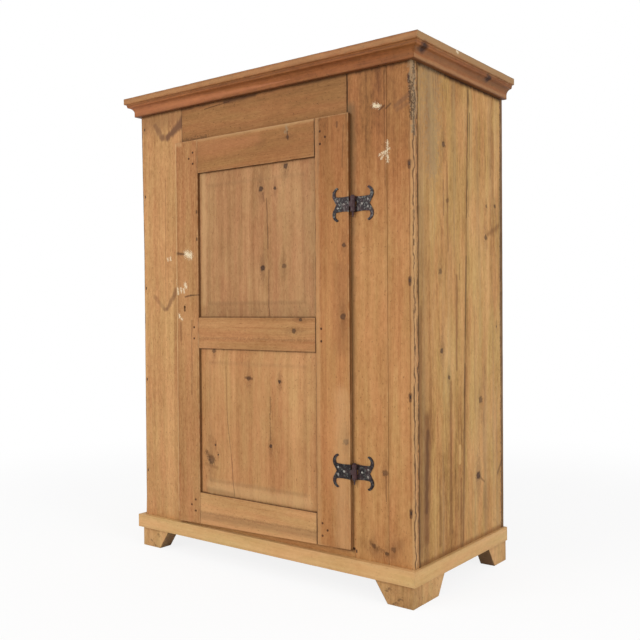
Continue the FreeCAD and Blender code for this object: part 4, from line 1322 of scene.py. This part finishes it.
@dataclass
class Mouldings:
    """The cornice and the plinth strip: a front length and two side lengths each, mitred."""

    base_height: float = 0.015
    base_reach: float = 0.0175
    cove: float = 0.019
    step_height: float = 0.012
    step_reach: float = 0.0025
    nose_reach: float = 0.007
    cove_segments: int = 8

    def build(self) -> None:
        """Builds the three lengths of the cornice and of the plinth."""
        case_low, case_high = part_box("left_front_plank")[0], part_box("right_front_plank_outer")[1]
        low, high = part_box("plinth_front")
        front_reach, side_reach = case_low.y - low.y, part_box("plinth_right")[1].x - case_high.x
        lean = side_reach / front_reach
        cornice = self.cornice_section()
        right_marks = (
            PAINT((-0.092, 1.694), (-0.084, 1.692), 0.005, 0.9),
            RUST((-0.285, 1.668), (-0.262, 1.664), 0.018, 0.7),
            CRACK_AND_SHADE((-0.276, 1.667), (-0.268, 1.664), 0.0115, 0.95),
            RUST((0.140, 1.669), (0.165, 1.664), 0.013, 0.7),
            CRACK_AND_SHADE((0.150, 1.667), (0.162, 1.665), 0.0085, 0.95),
        )
        for side, grain in (
            ("front", Grain.LEVEL_FRONT), ("left", Grain.LEVEL_SIDE), ("right", Grain.LEVEL_SIDE),
        ):
            timber = Timber(
                f"cornice_{side}", CORNICE_PINE, grain, tone=0.05, arris=0.15, grime_and_shade=0.1,
                marks=self.cornice_marks(side) + (right_marks if side == "right" else ()),
                marked_through=True,
            )
            self.run(cornice, side, timber, Working(ease=0.0022, wear=0.0012))
            reach = front_reach if side == "front" else side_reach
            strip = [(0.0, low.z), (reach, low.z), (reach, high.z), (0.0, high.z)]
            timber = Timber(f"plinth_{side}", PLINTH_PINE, grain, grime_and_shade=0.1)
            self.run(strip, side, timber, Working(ease=0.0014, wear=0.0006), lean)

    @staticmethod
    def cornice_marks(side: str) -> tuple[Mark, ...]:
        """The nose rubbed pale below a dark arris; the front's left end faded, painted shade in the sides'
        cove.
        """
        end = 0.66 if side == "front" else 0.36
        both = (
            # The line under the nose and the dark line along the foot are painted shade.
            CRACK_AND_SHADE((-end, 1.672), (end, 1.672), 0.0028, 0.25),
            GRIME_AND_SHADE((-end, 1.700), (end, 1.700), 0.0030, 0.7),
            GRIME_AND_SHADE((-end, 1.631), (end, 1.631), 0.006, 0.5),
        )
        if side == "front":
            return (
                BLEACH_AND_LIGHT((-end, 1.688), (end, 1.688), 0.018, 0.24, taper=0.8),
                BLUSH((-0.66, 1.650), (0.15, 1.646), 0.034, 0.42, taper=0.04),
            ) + both
        return (
            OLIVE((-end, 1.690), (end, 1.690), 0.018, 0.75),
            # Painted shade in the cove, and painted light on the base below it.
            SHADE((-end, 1.657), (end, 1.657), 0.013, 0.35),
            BLEACH_AND_LIGHT((-end, 1.639), (end, 1.639), 0.010, 0.22),
        ) + both

    def cornice_section(self) -> list[Spot]:
        """The cornice's outline: a flat base, a cove, a leaning step and a flat nose."""
        low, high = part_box("cornice_front")
        cove_z, cove_reach = low.z + self.base_height, self.base_reach + self.cove
        step_z = cove_z + self.cove
        nose_z, step_reach = step_z + self.step_height, cove_reach + self.step_reach
        turns = [math.pi / 2 * step / self.cove_segments for step in range(self.cove_segments + 1)]
        hollow = [
            (cove_reach - self.cove * math.cos(turn), cove_z + self.cove * math.sin(turn)) for turn in turns
        ]
        nose_reach = step_reach + self.nose_reach
        return [
            (0.0, low.z), (self.base_reach, low.z), *hollow, (step_reach, nose_z),
            (nose_reach, nose_z), (nose_reach, high.z), (0.0, high.z),
        ]

    @staticmethod
    def run(section: Sequence[Spot], side: str, timber: Timber, working: Working,
            lean: float = 1.0) -> None:
        """Carries a section along one side of the case and mitres its front ends.

        Args:
            section: the outline's corners, as reach from the case and height.
            side: front, left or right.
            timber: what the length is made of.
            working: how its edges are worked.
            lean: how far the mitre goes sideways for each metre that it comes forwards.
        """
        case_low, case_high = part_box("left_front_plank")[0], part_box("right_front_plank_outer")[1]
        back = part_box("back_board_1")[1].y
        if side == "front":
            corners = [Vector((case_low.x, case_low.y - reach, z)) for reach, z in section]
            mesh = Bench.prism(corners, Vector((case_high.x - case_low.x, 0.0, 0.0)))
            for vert in mesh.verts:
                vert.co.x += math.copysign(lean * (case_low.y - vert.co.y), vert.co.x)
        else:
            way = 1.0 if side == "right" else -1.0
            corners = [Vector((way * (case_high.x + reach), case_low.y, z)) for reach, z in section]
            mesh = Bench.prism(corners, Vector((0.0, back - case_low.y, 0.0)))
            for vert in mesh.verts:
                if vert.co.y < 0.0:
                    vert.co.y -= (abs(vert.co.x) - case_high.x) / lean
        along, long_edge = timber.grain.along, 0.2
        for face in mesh.faces:
            face.smooth = min(edge.calc_length() for edge in face.edges) < Mouldings.cove / 4
        finish_board(
            mesh, timber, working,
            chosen=lambda edge: abs(edge.verts[0].co[along] - edge.verts[1].co[along]) > long_edge,
        )


@dataclass
class Feet:
    """Bracket feet: a front and a side bracket at each front corner, one bracket at each rear corner."""

    sole: float = 0.092
    side_sole_ends: dict[str, float] = field(default_factory=lambda: {"left": 0.070, "right": 0.146})
    working: Working = field(default_factory=lambda: Working(ease=0.002, pitch=0.009, wear=0.0012))

    def build(self) -> None:
        """Builds the six brackets, whose inner ends lean in to their soles."""
        for side, way in (("left", -1.0), ("right", 1.0)):
            self.front_bracket(f"front_{side}_foot_front_bracket", way)
            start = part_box("left_front_plank")[0].y
            self.side_bracket(f"front_{side}_foot_side_bracket", start + self.side_sole_ends[side], False)
            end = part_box(f"rear_{side}_foot_bracket")[1].y
            self.side_bracket(f"rear_{side}_foot_bracket", end - self.sole, True)

    def front_bracket(self, node: str, way: float) -> None:
        """A bracket under the front, its outer end flush with the side of the case."""
        low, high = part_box(node)
        outer, inner = (high.x, low.x) if way > 0 else (low.x, high.x)
        corners = [(outer, low.z), (outer - way * self.sole, low.z), (inner, high.z), (outer, high.z)]
        # The leaning end: darker end grain, with painted shade over it.
        end_grain_shade = GRIME_AND_SHADE(corners[1], corners[2], 0.004, 0.62)
        stains = tuple(
            SPECK((outer - way * out, rise), (outer - way * (out + 0.010), rise - 0.006), size, 0.5)
            for out, rise, size in ((0.082, 0.050, 0.006), (0.040, 0.026, 0.005), (0.060, 0.012, 0.004))
        )
        timber = Timber(
            node, FOOT_PINE, Grain.UPRIGHT_FRONT, tone=0.12 if way > 0 else -0.2,
            marks=(end_grain_shade, *stains), marked_through=True,
        )
        finish_board(Bench.board(corners, node, Y_AXIS), timber, self.working)

    def side_bracket(self, node: str, sole_end: float, rear: bool) -> None:
        """A bracket under the side.

        Args:
            node: its node.
            sole_end: the Y at which its sole ends under the case.
            rear: True if it stands at the back and leans forwards.
        """
        low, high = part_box(node)
        square, leaning = (high.y, low.y) if rear else (low.y, high.y)
        corners = [(square, low.z), (sole_end, low.z), (leaning, high.z), (square, high.z)]
        # The leaning end: darker end grain, with painted shade over it.
        end_grain_shade = GRIME_AND_SHADE(corners[1], corners[2], 0.004, 0.75)
        timber = Timber(
            node, FOOT_PINE, Grain.UPRIGHT_SIDE, tone=-0.22, marks=(end_grain_shade,), marked_through=True
        )
        finish_board(Bench.board(corners, node, X_AXIS), timber, self.working)


@dataclass
class Door:
    """The framed door: lipped stiles and rails, two raised panels, pegs and the keyhole."""

    lip: float = 0.014
    clearance: float = 0.004
    joint: float = 0.0003
    field_margin: float = 0.050
    field_rise: float = 0.0045
    peg_proud: float = 0.0003
    keyhole: Vector = field(default_factory=lambda: Vector((-0.355, 0.0, 0.908)))
    keyhole_radius: float = 0.0042
    keyhole_slot: tuple[float, float] = (0.0046, 0.016)
    working: Working = field(default_factory=lambda: Working(ease=0.0014, wear=0.0009))

    def __post_init__(self) -> None:
        """Takes the door's place from the nodes."""
        self.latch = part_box("door_latch_stile")
        self.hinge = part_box("door_hinge_stile")
        self.foot_slope = (self.hinge[0].z - self.latch[0].z) / (self.hinge[0].x - self.latch[0].x)
        gap = Vector((self.clearance, 0.0, self.clearance))
        self.inset_low = Vector(
            (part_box("left_front_plank")[1].x, self.latch[0].y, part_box("bottom_rail")[1].z)
        ) + gap
        self.inset_high = Vector(
            (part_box("right_front_plank_inner")[0].x, self.latch[1].y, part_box("frieze_rail")[0].z)
        ) - gap

    def build(self) -> None:
        """Builds the stiles, the rails, the panels and the pegs."""
        self.stiles()
        self.rails()
        self.panels()
        pegs = Bench.copied("door_pegs")
        front = [vert for vert in pegs.verts if vert.co.y < self.latch[0].y + MERGE_GAP]
        bmesh.ops.translate(pegs, vec=(0.0, -self.peg_proud, 0.0), verts=front)
        timber = Timber("door_pegs", PEG_WOOD, Grain.UPRIGHT_FRONT, arris=0.0, grime_and_shade=0.0)
        Bench.place(pegs, "door_pegs", PineShader(timber, mesh_box(pegs)).paint())

    def lipped(self, low: Vector, high: Vector) -> Mesh:
        """A stile or rail whose outer edges are rebated to lie over the front.

        Args:
            low: its lowest corner, on the door's face.
            high: its highest corner, on the door's back.

        Returns:
            The mesh, with the door's sloping foot.
        """
        mesh = Bench.slab(low, Vector((high.x, low.y + self.lip, high.z)))
        for axis in (X_AXIS, Z_AXIS):
            for place in (self.inset_low[axis], self.inset_high[axis]):
                if low[axis] < place < high[axis]:
                    Bench.cut(mesh, axis, place)
        mesh.normal_update()
        back = [face for face in mesh.faces if face.normal.y > SQUARE_ON and self.within(face)]
        grown = bmesh.ops.extrude_face_region(mesh, geom=back)["geom"]
        moved = [part for part in grown if isinstance(part, bmesh.types.BMVert)]
        bmesh.ops.translate(mesh, vec=(0.0, high.y - low.y - self.lip, 0.0), verts=moved)
        bmesh.ops.dissolve_limit(mesh, angle_limit=FLAT_ANGLE, verts=mesh.verts, edges=mesh.edges)
        for vert in mesh.verts:
            if vert.co.z < self.latch[0].z + MERGE_GAP:
                vert.co.z += self.foot_slope * (vert.co.x - self.latch[0].x)
        bmesh.ops.recalc_face_normals(mesh, faces=mesh.faces)
        return mesh

    def within(self, face: bmesh.types.BMFace) -> bool:
        """True if a face of the lip's back lies inside the opening."""
        middle = face.calc_center_median()
        return all(self.inset_low[a] < middle[a] < self.inset_high[a] for a in (X_AXIS, Z_AXIS))

    def stiles(self) -> None:
        """The two stiles; the latch stile has the keyhole, its paint and its scars."""
        rubbed = 0.002
        outer = self.latch[0].x + rubbed
        latch = Timber(
            "door_latch_stile", LATCH_PINE, Grain.UPRIGHT_FRONT, tone=0.06, top_darkening=0.2, arris=0.4,
            recess_shade=0.6,
            marks=(
                PAINT((-0.344, 1.101), (-0.326, 1.094), 0.0125, 0.95),
                PAINT((-0.320, 1.108), (-0.319, 1.080), 0.0030, 0.7),
                GRIME_AND_SHADE((-0.394, 1.104), (-0.356, 1.100), 0.011, 0.75, taper=0.45),
                PAINT((-0.352, 0.991), (-0.347, 0.980), 0.0065, 0.9),
                PAINT((-0.360, 0.974), (-0.357, 0.960), 0.0035, 0.8),
                PAINT((-0.374, 0.977), (-0.372, 0.962), 0.0042, 0.8),
                PAINT((-0.392, 0.978), (-0.389, 0.957), 0.0045, 0.85),
                GRIME_AND_SHADE((-0.352, 0.945), (-0.322, 0.950), 0.0050, 0.7),
                GRIME_AND_SHADE((-0.322, 0.950), (-0.286, 0.951), 0.0046, 0.8, taper=0.7),
                PAINT((-0.384, 0.880), (-0.382, 0.871), 0.0046, 0.9),
                PAINT((-0.373, 0.866), (-0.369, 0.863), 0.0040, 0.85),
                BAND((-0.377, 0.850), (-0.375, 0.790), 0.010, 0.6),
                CRACK_AND_SHADE((-0.290, 1.252), (-0.290, 1.246), 0.0050, 0.7),
                CRACK_AND_SHADE((-0.290, 1.154), (-0.290, 1.148), 0.0050, 0.7),
                # A pale line along the outer arris: worn wood, with a painted highlight.
                BLEACH_AND_LIGHT((outer, 1.50), (outer, 0.16), 0.0050, 0.55),
                GRIME_AND_SHADE((-0.355, 0.911), (-0.355, 0.896), 0.0075, 0.6),
                CRACK_AND_SHADE((-0.319, 0.861), (-0.322, 0.590), 0.002, 0.6),
                BLEACH_AND_LIGHT((-0.396, 1.505), (-0.372, 1.500), 0.016, 0.35),
            ),
        )
        self.bore_keyhole(finish_board(self.lipped(*self.latch), latch, self.working))
        inner, foot, top = self.hinge[0].x, self.hinge[0].z, self.hinge[1].z
        hinge = Timber(
            "door_hinge_stile", STILE_PINE, Grain.UPRIGHT_FRONT, top_darkening=0.34, arris=0.3, recess_shade=0.65,
            knots=(
                Knot((0.360, 0.482), 0.011, 0.81), Knot((0.357, 1.097), 0.008, 0.81),
                Knot((0.352, 0.873), 0.011, 0.88),
            ),
            marks=(
                # A painted highlight along the inner arris.
                BLEACH_AND_LIGHT((inner + 0.010, foot), (inner + 0.010, top), 0.014, 0.25),
                BLEACH_AND_LIGHT((0.345, 0.62), (0.345, 0.16), 0.05, 0.35),
                BAND((0.345, 1.02), (0.345, 0.78), 0.05, 0.3),
                RUST((0.333, 1.482), (0.333, 1.468), 0.0055, 0.5),
                BAND((0.358, 1.47), (0.352, 1.34), 0.0045, 0.7),
                CRACK_AND_SHADE((inner, foot), (inner, top), 0.0024, 0.85),
            ),
        )
        low = Vector((self.hinge[0].x, self.hinge[0].y, self.latch[0].z))
        finish_board(self.lipped(low, self.hinge[1]), hinge, self.working)

    def bore_keyhole(self, stile: bpy.types.Object) -> None:
        """Cuts the keyhole, a round hole with a slot below it, through the latch stile."""
        slot_width, slot_length = self.keyhole_slot
        through = 0.5
        cutter = Bench.slab(
            Vector((-slot_width / 2, -through, -slot_length)), Vector((slot_width / 2, through, 0.0))
        )
        turn = Matrix.Rotation(math.radians(90), 4, "X")
        bmesh.ops.create_cone(
            cutter, cap_ends=True, segments=24, radius1=self.keyhole_radius,
            radius2=self.keyhole_radius, depth=2 * through, matrix=turn,
        )
        bmesh.ops.translate(cutter, vec=self.keyhole, verts=cutter.verts)
        Bench.carve(stile, cutter, overlapping=True)

    def rails(self) -> None:
        """The top, middle and bottom rails between the stiles."""
        left, right = self.latch[1].x + self.joint, self.hinge[0].x - self.joint
        grain = Grain.LEVEL_FRONT
        top = Timber(
            "door_top_rail", FRIEZE_PINE, grain, tone=-0.06, arris=0.2, recess_shade=0.8,
            knots=(Knot((0.133, 1.462), 0.007, 0.68),), marks=self.rail_ends(left, right) + (
                GREY((0.128, 1.497), (0.130, 1.480), 0.010, 0.6),
                RUST((0.132, 1.480), (0.135, 1.452), 0.0036, 0.6),
                BAND((0.000, 1.452), (0.030, 1.458), 0.018, 0.35),
                BLEACH_AND_LIGHT((left, 1.505), (right, 1.505), 0.012, 0.35),
                BLUSH((left, 1.480), (0.00, 1.475), 0.060, 0.22, taper=0.5),
            ),
        )
        middle = Timber(
            "door_mid_rail", DOOR_PINE, grain, tone=0.1, arris=0.15, recess_shade=0.8,
            knots=(Knot((0.154, 0.827), 0.009, 0.81), Knot((0.182, 0.864), 0.007, 0.81)),
            marks=self.rail_ends(left, right) + (
                SPECK((left, 0.797), (right, 0.797), 0.005, 0.22),
            ),
        )
        bottom = Timber(
            "door_bottom_rail", DOOR_PINE, grain, tone=-0.26, arris=0.15, recess_shade=0.8,
            marks=self.rail_ends(left, right) + (
                SHADE((left, 0.158), (right, 0.168), 0.026, 0.4),
                SPECK((left, 0.170), (right, 0.180), 0.005, 0.2),
            ),
        )
        for timber in (top, middle, bottom):
            low, high = (corner.copy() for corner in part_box(timber.node))
            low.x, high.x = left, right
            if timber is bottom:
                low.z = self.latch[0].z
            finish_board(self.lipped(low, high), timber, self.working)

    @staticmethod
    def rail_ends(left: float, right: float) -> tuple[Mark, ...]:
        """The dark joints of a rail with the stiles, of which the hinge stile's is the wider one."""
        low, high = 0.0, 1.6
        return (
            CRACK_AND_SHADE((left, low), (left, high), 0.0016, 0.4),
            CRACK_AND_SHADE((right, low), (right, high), 0.0026, 0.85),
        )

    def field_lines(self, node: str, kind: MarkKind, tone: float) -> tuple[Mark, ...]:
        """A panel's field outlined in painted shade, and its lower bevel in painted light or shade as if
        lit.
        """
        low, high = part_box(node)
        inset = self.latch[1].x - low.x + self.field_margin
        left, right, foot, top = low.x + inset, high.x - inset, low.z + inset, high.z - inset
        width, strength = 0.012, 0.14
        return (
            # The lower bevel in painted light or painted shade, by the kind given.
            kind((left, foot - 0.026), (right, foot - 0.026), 0.042, tone),
            SHADE((left, foot), (right, foot), width, 1.6 * strength),
            SHADE((left, top), (right, top), width, strength),
            SHADE((left, foot), (left, top), width, strength),
            SHADE((right, foot), (right, top), width, strength),
        )

    def panels(self) -> None:
        """The raised panels, each with a field that its bevels climb to."""
        upper = Timber(
            "door_upper_panel", UPPER_PINE, Grain.UPRIGHT_FRONT, tone=0.05, top_darkening=0.1, arris=0.0,
            # Dirt and painted shade along the panel's edges, beside the frame.
            grime_and_shade=0.75, dark_edge_reach=0.0065, margin=0.010,
            knots=(
                Knot((0.117, 1.370), 0.010, 0.88), Knot((0.011, 1.304), 0.010, 0.94),
                Knot((0.073, 1.301), 0.006, 0.94), Knot((0.017, 1.037), 0.010, 1.00),
                Knot((0.109, 1.041), 0.009, 0.61),
            ),
            marks=self.field_lines("door_upper_panel", SHADE, 0.22) + (
                # Painted light on the left bevel.
                BLEACH_AND_LIGHT((-0.262, 1.38), (-0.262, 0.93), 0.026, 0.4),
                CRACK_AND_SHADE((0.044, 1.030), (0.042, 0.876), 0.0020, 0.65),
                SPIKE((0.020, 1.290), (0.024, 1.262), 0.005, 0.6),
                CRACK_AND_SHADE((0.036, 1.270), (0.041, 1.100), 0.0022, 0.6),
            ),
        )
        lower = Timber(
            "door_lower_panel", DOOR_PINE, Grain.UPRIGHT_FRONT, tone=-0.07, arris=0.0,
            # Dirt and painted shade along the panel's edges, beside the frame.
            grime_and_shade=0.75, dark_edge_reach=0.0065, margin=0.010,
            knots=(
                Knot((-0.051, 0.662), 0.009, 0.7), Knot((0.087, 0.657), 0.007, 1.00),
                Knot((0.046, 0.438), 0.007, 1.00), Knot((-0.218, 0.752), 0.009, 0.68),
                Knot((-0.232, 0.364), 0.018, 0.68), Knot((-0.198, 0.385), 0.004, 0.94),
                Knot((-0.211, 0.418), 0.004, 0.94),
            ),
            # The lower bevel is painted lighter, as if lit.
            marks=self.field_lines("door_lower_panel", BLEACH_AND_LIGHT, 0.45) + (
                CRACK_AND_SHADE((-0.158, 0.700), (-0.152, 0.506), 0.0018, 0.4),
                CRACK_AND_SHADE((-0.152, 0.506), (-0.132, 0.364), 0.0018, 0.5),
                CRACK_AND_SHADE((-0.132, 0.364), (-0.124, 0.243), 0.0018, 0.6),
                SPECK((0.046, 0.60), (0.044, 0.46), 0.0036, 0.4),
                BAND((-0.262, 0.345), (-0.200, 0.338), 0.010, 0.35),
                BAND((-0.258, 0.392), (-0.232, 0.372), 0.012, 0.6),
                SPECK((-0.256, 0.388), (-0.235, 0.350), 0.008, 0.45),
                SHADE((-0.255, 0.256), (-0.130, 0.252), 0.014, 0.3),
                RUST((-0.066, 0.664), (-0.036, 0.661), 0.007, 0.55),
            ),
        )
        for timber in (upper, lower):
            low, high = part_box(timber.node)
            mesh = Bench.slab(Vector((low.x, low.y + self.field_rise, low.z)), high)
            mesh.normal_update()
            front = next(face for face in mesh.faces if face.normal.y < -SQUARE_ON)
            for width in (self.latch[1].x - low.x, self.field_margin):
                bmesh.ops.inset_region(
                    mesh, faces=[front], thickness=width, use_boundary=True, use_even_offset=True
                )
            bmesh.ops.translate(mesh, vec=(0.0, -self.field_rise, 0.0), verts=front.verts)
            finish_board(mesh, timber, Working(ease=0.001, pitch=0.02, wear=0.0))


@dataclass
class Ironwork:
    """The two horned hinges with their pins and nails, and the lock behind the latch stile."""

    leaf_ease: float = 0.0006
    lock_ease: float = 0.0005

    def build(self) -> None:
        """Builds the hinges, their nails and the lock from the shapes of their nodes."""
        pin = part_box("upper_hinge_pin")
        rusty = HINGE_IRON.paint(rust_line=(pin[0].x + pin[1].x) / 2)
        nails = HEAD_IRON.paint()
        lock = LOCK_IRON.paint()
        for hinge in ("upper", "lower"):
            for part in ("door_leaf", "frame_leaf", "pin"):
                self.forged(f"{hinge}_hinge_{part}", self.leaf_ease, rusty)
        for node in ("hinge_door_nails", "hinge_frame_nails"):
            self.forged(node, 0.0, nails)
        for node in ("lock_case", "lock_bolt", "lock_screws", "lock_strike"):
            self.forged(node, self.lock_ease, lock)

    @staticmethod
    def forged(node: str, ease: float, iron: bpy.types.Material) -> None:
        """A copy of an iron node with its edges eased."""
        mesh = Bench.copied(node)
        if ease:
            Bench.ease(mesh, ease)
        Bench.place(mesh, node, iron)


@dataclass
class Inside:
    """The hat shelf on its cleats, and the hanging rail in its sockets."""

    rail_segments: int = 40
    rail_ease: float = 0.0015
    socket_ease: float = 0.0008

    def build(self) -> None:
        """Builds the shelf, the cleats, the rail and the sockets."""
        plain_board(Timber("hat_shelf", INSIDE_PINE, Grain.LEVEL_TOP, tone=-0.04))
        for side in ("left", "right"):
            plain_board(Timber(f"shelf_cleat_{side}", INSIDE_PINE, Grain.LEVEL_SIDE, tone=0.06))
            socket = Timber(f"rail_socket_{side}", INSIDE_PINE, Grain.LEVEL_SIDE, tone=0.1)
            mesh = Bench.copied(socket.node)
            box = mesh_box(mesh)
            Bench.ease(mesh, self.socket_ease)
            Bench.place(mesh, socket.node, PineShader(socket, box).paint())
        self.rail()

    def rail(self) -> None:
        """The turned hanging rail."""
        low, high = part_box("hanging_rail")
        mesh = bmesh.new()
        radius = (high.z - low.z) / 2
        turn = Matrix.Rotation(math.radians(90), 4, "Y")
        bmesh.ops.create_cone(
            mesh, cap_ends=True, segments=self.rail_segments, radius1=radius, radius2=radius,
            depth=high.x - low.x, matrix=Matrix.Translation((low + high) / 2) @ turn,
        )
        box = mesh_box(mesh)
        Bench.ease(mesh, self.rail_ease)
        for face in mesh.faces:
            face.smooth = len(face.verts) == 4
        timber = Timber("hanging_rail", INSIDE_PINE, Grain.LEVEL_TOP, arris=0.0, grime_and_shade=0.0)
        Bench.place(mesh, "hanging_rail", PineShader(timber, box).paint())


@dataclass
class Studio:
    """The camera at the photograph's angle, a white floor and soft light."""

    eye: Vector = field(default_factory=lambda: Vector((1.8726, -2.4266, 0.9010)))
    lens: float = 47.02
    sensor: float = 36.0
    yaw: float = math.radians(37.152)
    pitch: float = math.radians(-0.82)
    roll: float = math.radians(-0.407)
    sky: float = 0.62
    floor_half: float = 30.0
    floor_colour: Colour = (0.94, 0.94, 0.94)
    glow_near: float = 0.85
    lit_radius: float = 1.5
    white_radius: float = 3.2
    lamp_size: float = 3.2
    lamp_target: Vector = field(default_factory=lambda: Vector((0.0, 0.0, 0.85)))

    def build(self) -> None:
        """Sets up the camera, the world, the floor and the lamps."""
        bpy.context.scene.view_settings.view_transform = "Standard"
        self.camera()
        self.world()
        self.floor()
        self.lamp("key", Vector((-1.6, -4.6, 2.6)), 95.0)
        self.lamp("side", Vector((5.0, -0.9, 2.2)), 75.0)

    def camera(self) -> None:
        """The camera, turned by its yaw, pitch and roll."""
        forward = Vector((
            -math.sin(self.yaw) * math.cos(self.pitch),
            math.cos(self.yaw) * math.cos(self.pitch),
            math.sin(self.pitch),
        ))
        level = Vector((math.cos(self.yaw), math.sin(self.yaw), 0.0))
        upright = level.cross(forward)
        right = math.cos(self.roll) * level + math.sin(self.roll) * upright
        up = math.cos(self.roll) * upright - math.sin(self.roll) * level
        data = bpy.data.cameras.new("camera")
        data.lens, data.sensor_width = self.lens, self.sensor
        camera = bpy.data.objects.new("camera", data)
        axes = Matrix((right, up, -forward)).transposed().to_4x4()
        camera.matrix_world = Matrix.Translation(self.eye) @ axes
        bpy.context.scene.collection.objects.link(camera)
        bpy.context.scene.camera = camera

    @staticmethod
    def seen_directly(shader: Shader) -> Value:
        """1 for what the camera sees, straight, mirrored or through glass, and 0 for light that bounces."""
        path = shader.node("ShaderNodeLightPath")
        rays = ("Is Camera Ray", "Is Glossy Ray", "Is Transmission Ray")
        camera, glossy, through = (Value(shader, path.outputs[ray]) for ray in rays)
        return shader.maths("MINIMUM", camera + glossy + through, 1.0)

    def world(self) -> None:
        """A white sky that lights the object softly."""
        world = bpy.data.worlds.new("studio")
        bpy.context.scene.world = world
        world.use_nodes = True
        shader = Shader(world.node_tree)
        seen = self.seen_directly(shader)
        strength = self.sky + (1.0 - self.sky) * seen
        sky = shader.node(
            "ShaderNodeBackground", values={"Color": (1.0, 1.0, 1.0, 1.0), "Strength": strength}
        )
        shader.node("ShaderNodeOutputWorld", values={"Surface": Value(shader, sky.outputs[0])})

    def floor(self) -> None:
        """A wide floor that keeps the shadow and turns pure white further away."""
        mesh = bmesh.new()
        bmesh.ops.create_grid(mesh, x_segments=1, y_segments=1, size=self.floor_half)
        data = bpy.data.meshes.new("floor")
        mesh.to_mesh(data)
        mesh.free()
        material, shader = new_material("floor_white")
        x, y, _ = shader.object_place()
        distance = shader.maths("SQRT", x * x + y * y)
        further = shader.step(distance, self.lit_radius, self.white_radius)
        white = (self.glow_near + (1.0 - self.glow_near) * further) * self.seen_directly(shader)
        paint = shader.node(
            "ShaderNodeBsdfDiffuse", values={"Color": (*self.floor_colour, 1.0), "Roughness": 0.5}
        )
        glow = shader.node(
            "ShaderNodeEmission", values={"Color": (1.0, 1.0, 1.0, 1.0), "Strength": 1.0}
        )
        both = shader.node(
            "ShaderNodeMixShader",
            values={0: white, 1: Value(shader, paint.outputs[0]), 2: Value(shader, glow.outputs[0])},
        )
        shader.node("ShaderNodeOutputMaterial", values={"Surface": Value(shader, both.outputs[0])})
        data.materials.append(material)
        floor = bpy.data.objects.new("floor", data)
        bpy.context.scene.collection.objects.link(floor)

    def lamp(self, name: str, place: Vector, power: float) -> None:
        """A square soft lamp of so many watts that faces the object."""
        data = bpy.data.lights.new(name, "AREA")
        data.shape, data.size, data.energy = "SQUARE", self.lamp_size, power
        lamp = bpy.data.objects.new(name, data)
        turn = (self.lamp_target - place).to_track_quat("-Z", "Y").to_matrix().to_4x4()
        lamp.matrix_world = Matrix.Translation(place) @ turn
        bpy.context.scene.collection.objects.link(lamp)


def main() -> None:
    """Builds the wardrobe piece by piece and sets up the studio."""
    for assembly in (Front(), Carcase(), Mouldings(), Feet(), Door(), Ironwork(), Inside(), Studio()):
        log.info("building %s", type(assembly).__name__)
        assembly.build()


if __name__ == "__main__":
    logging.basicConfig(level=logging.INFO, format="%(message)s")
    main()
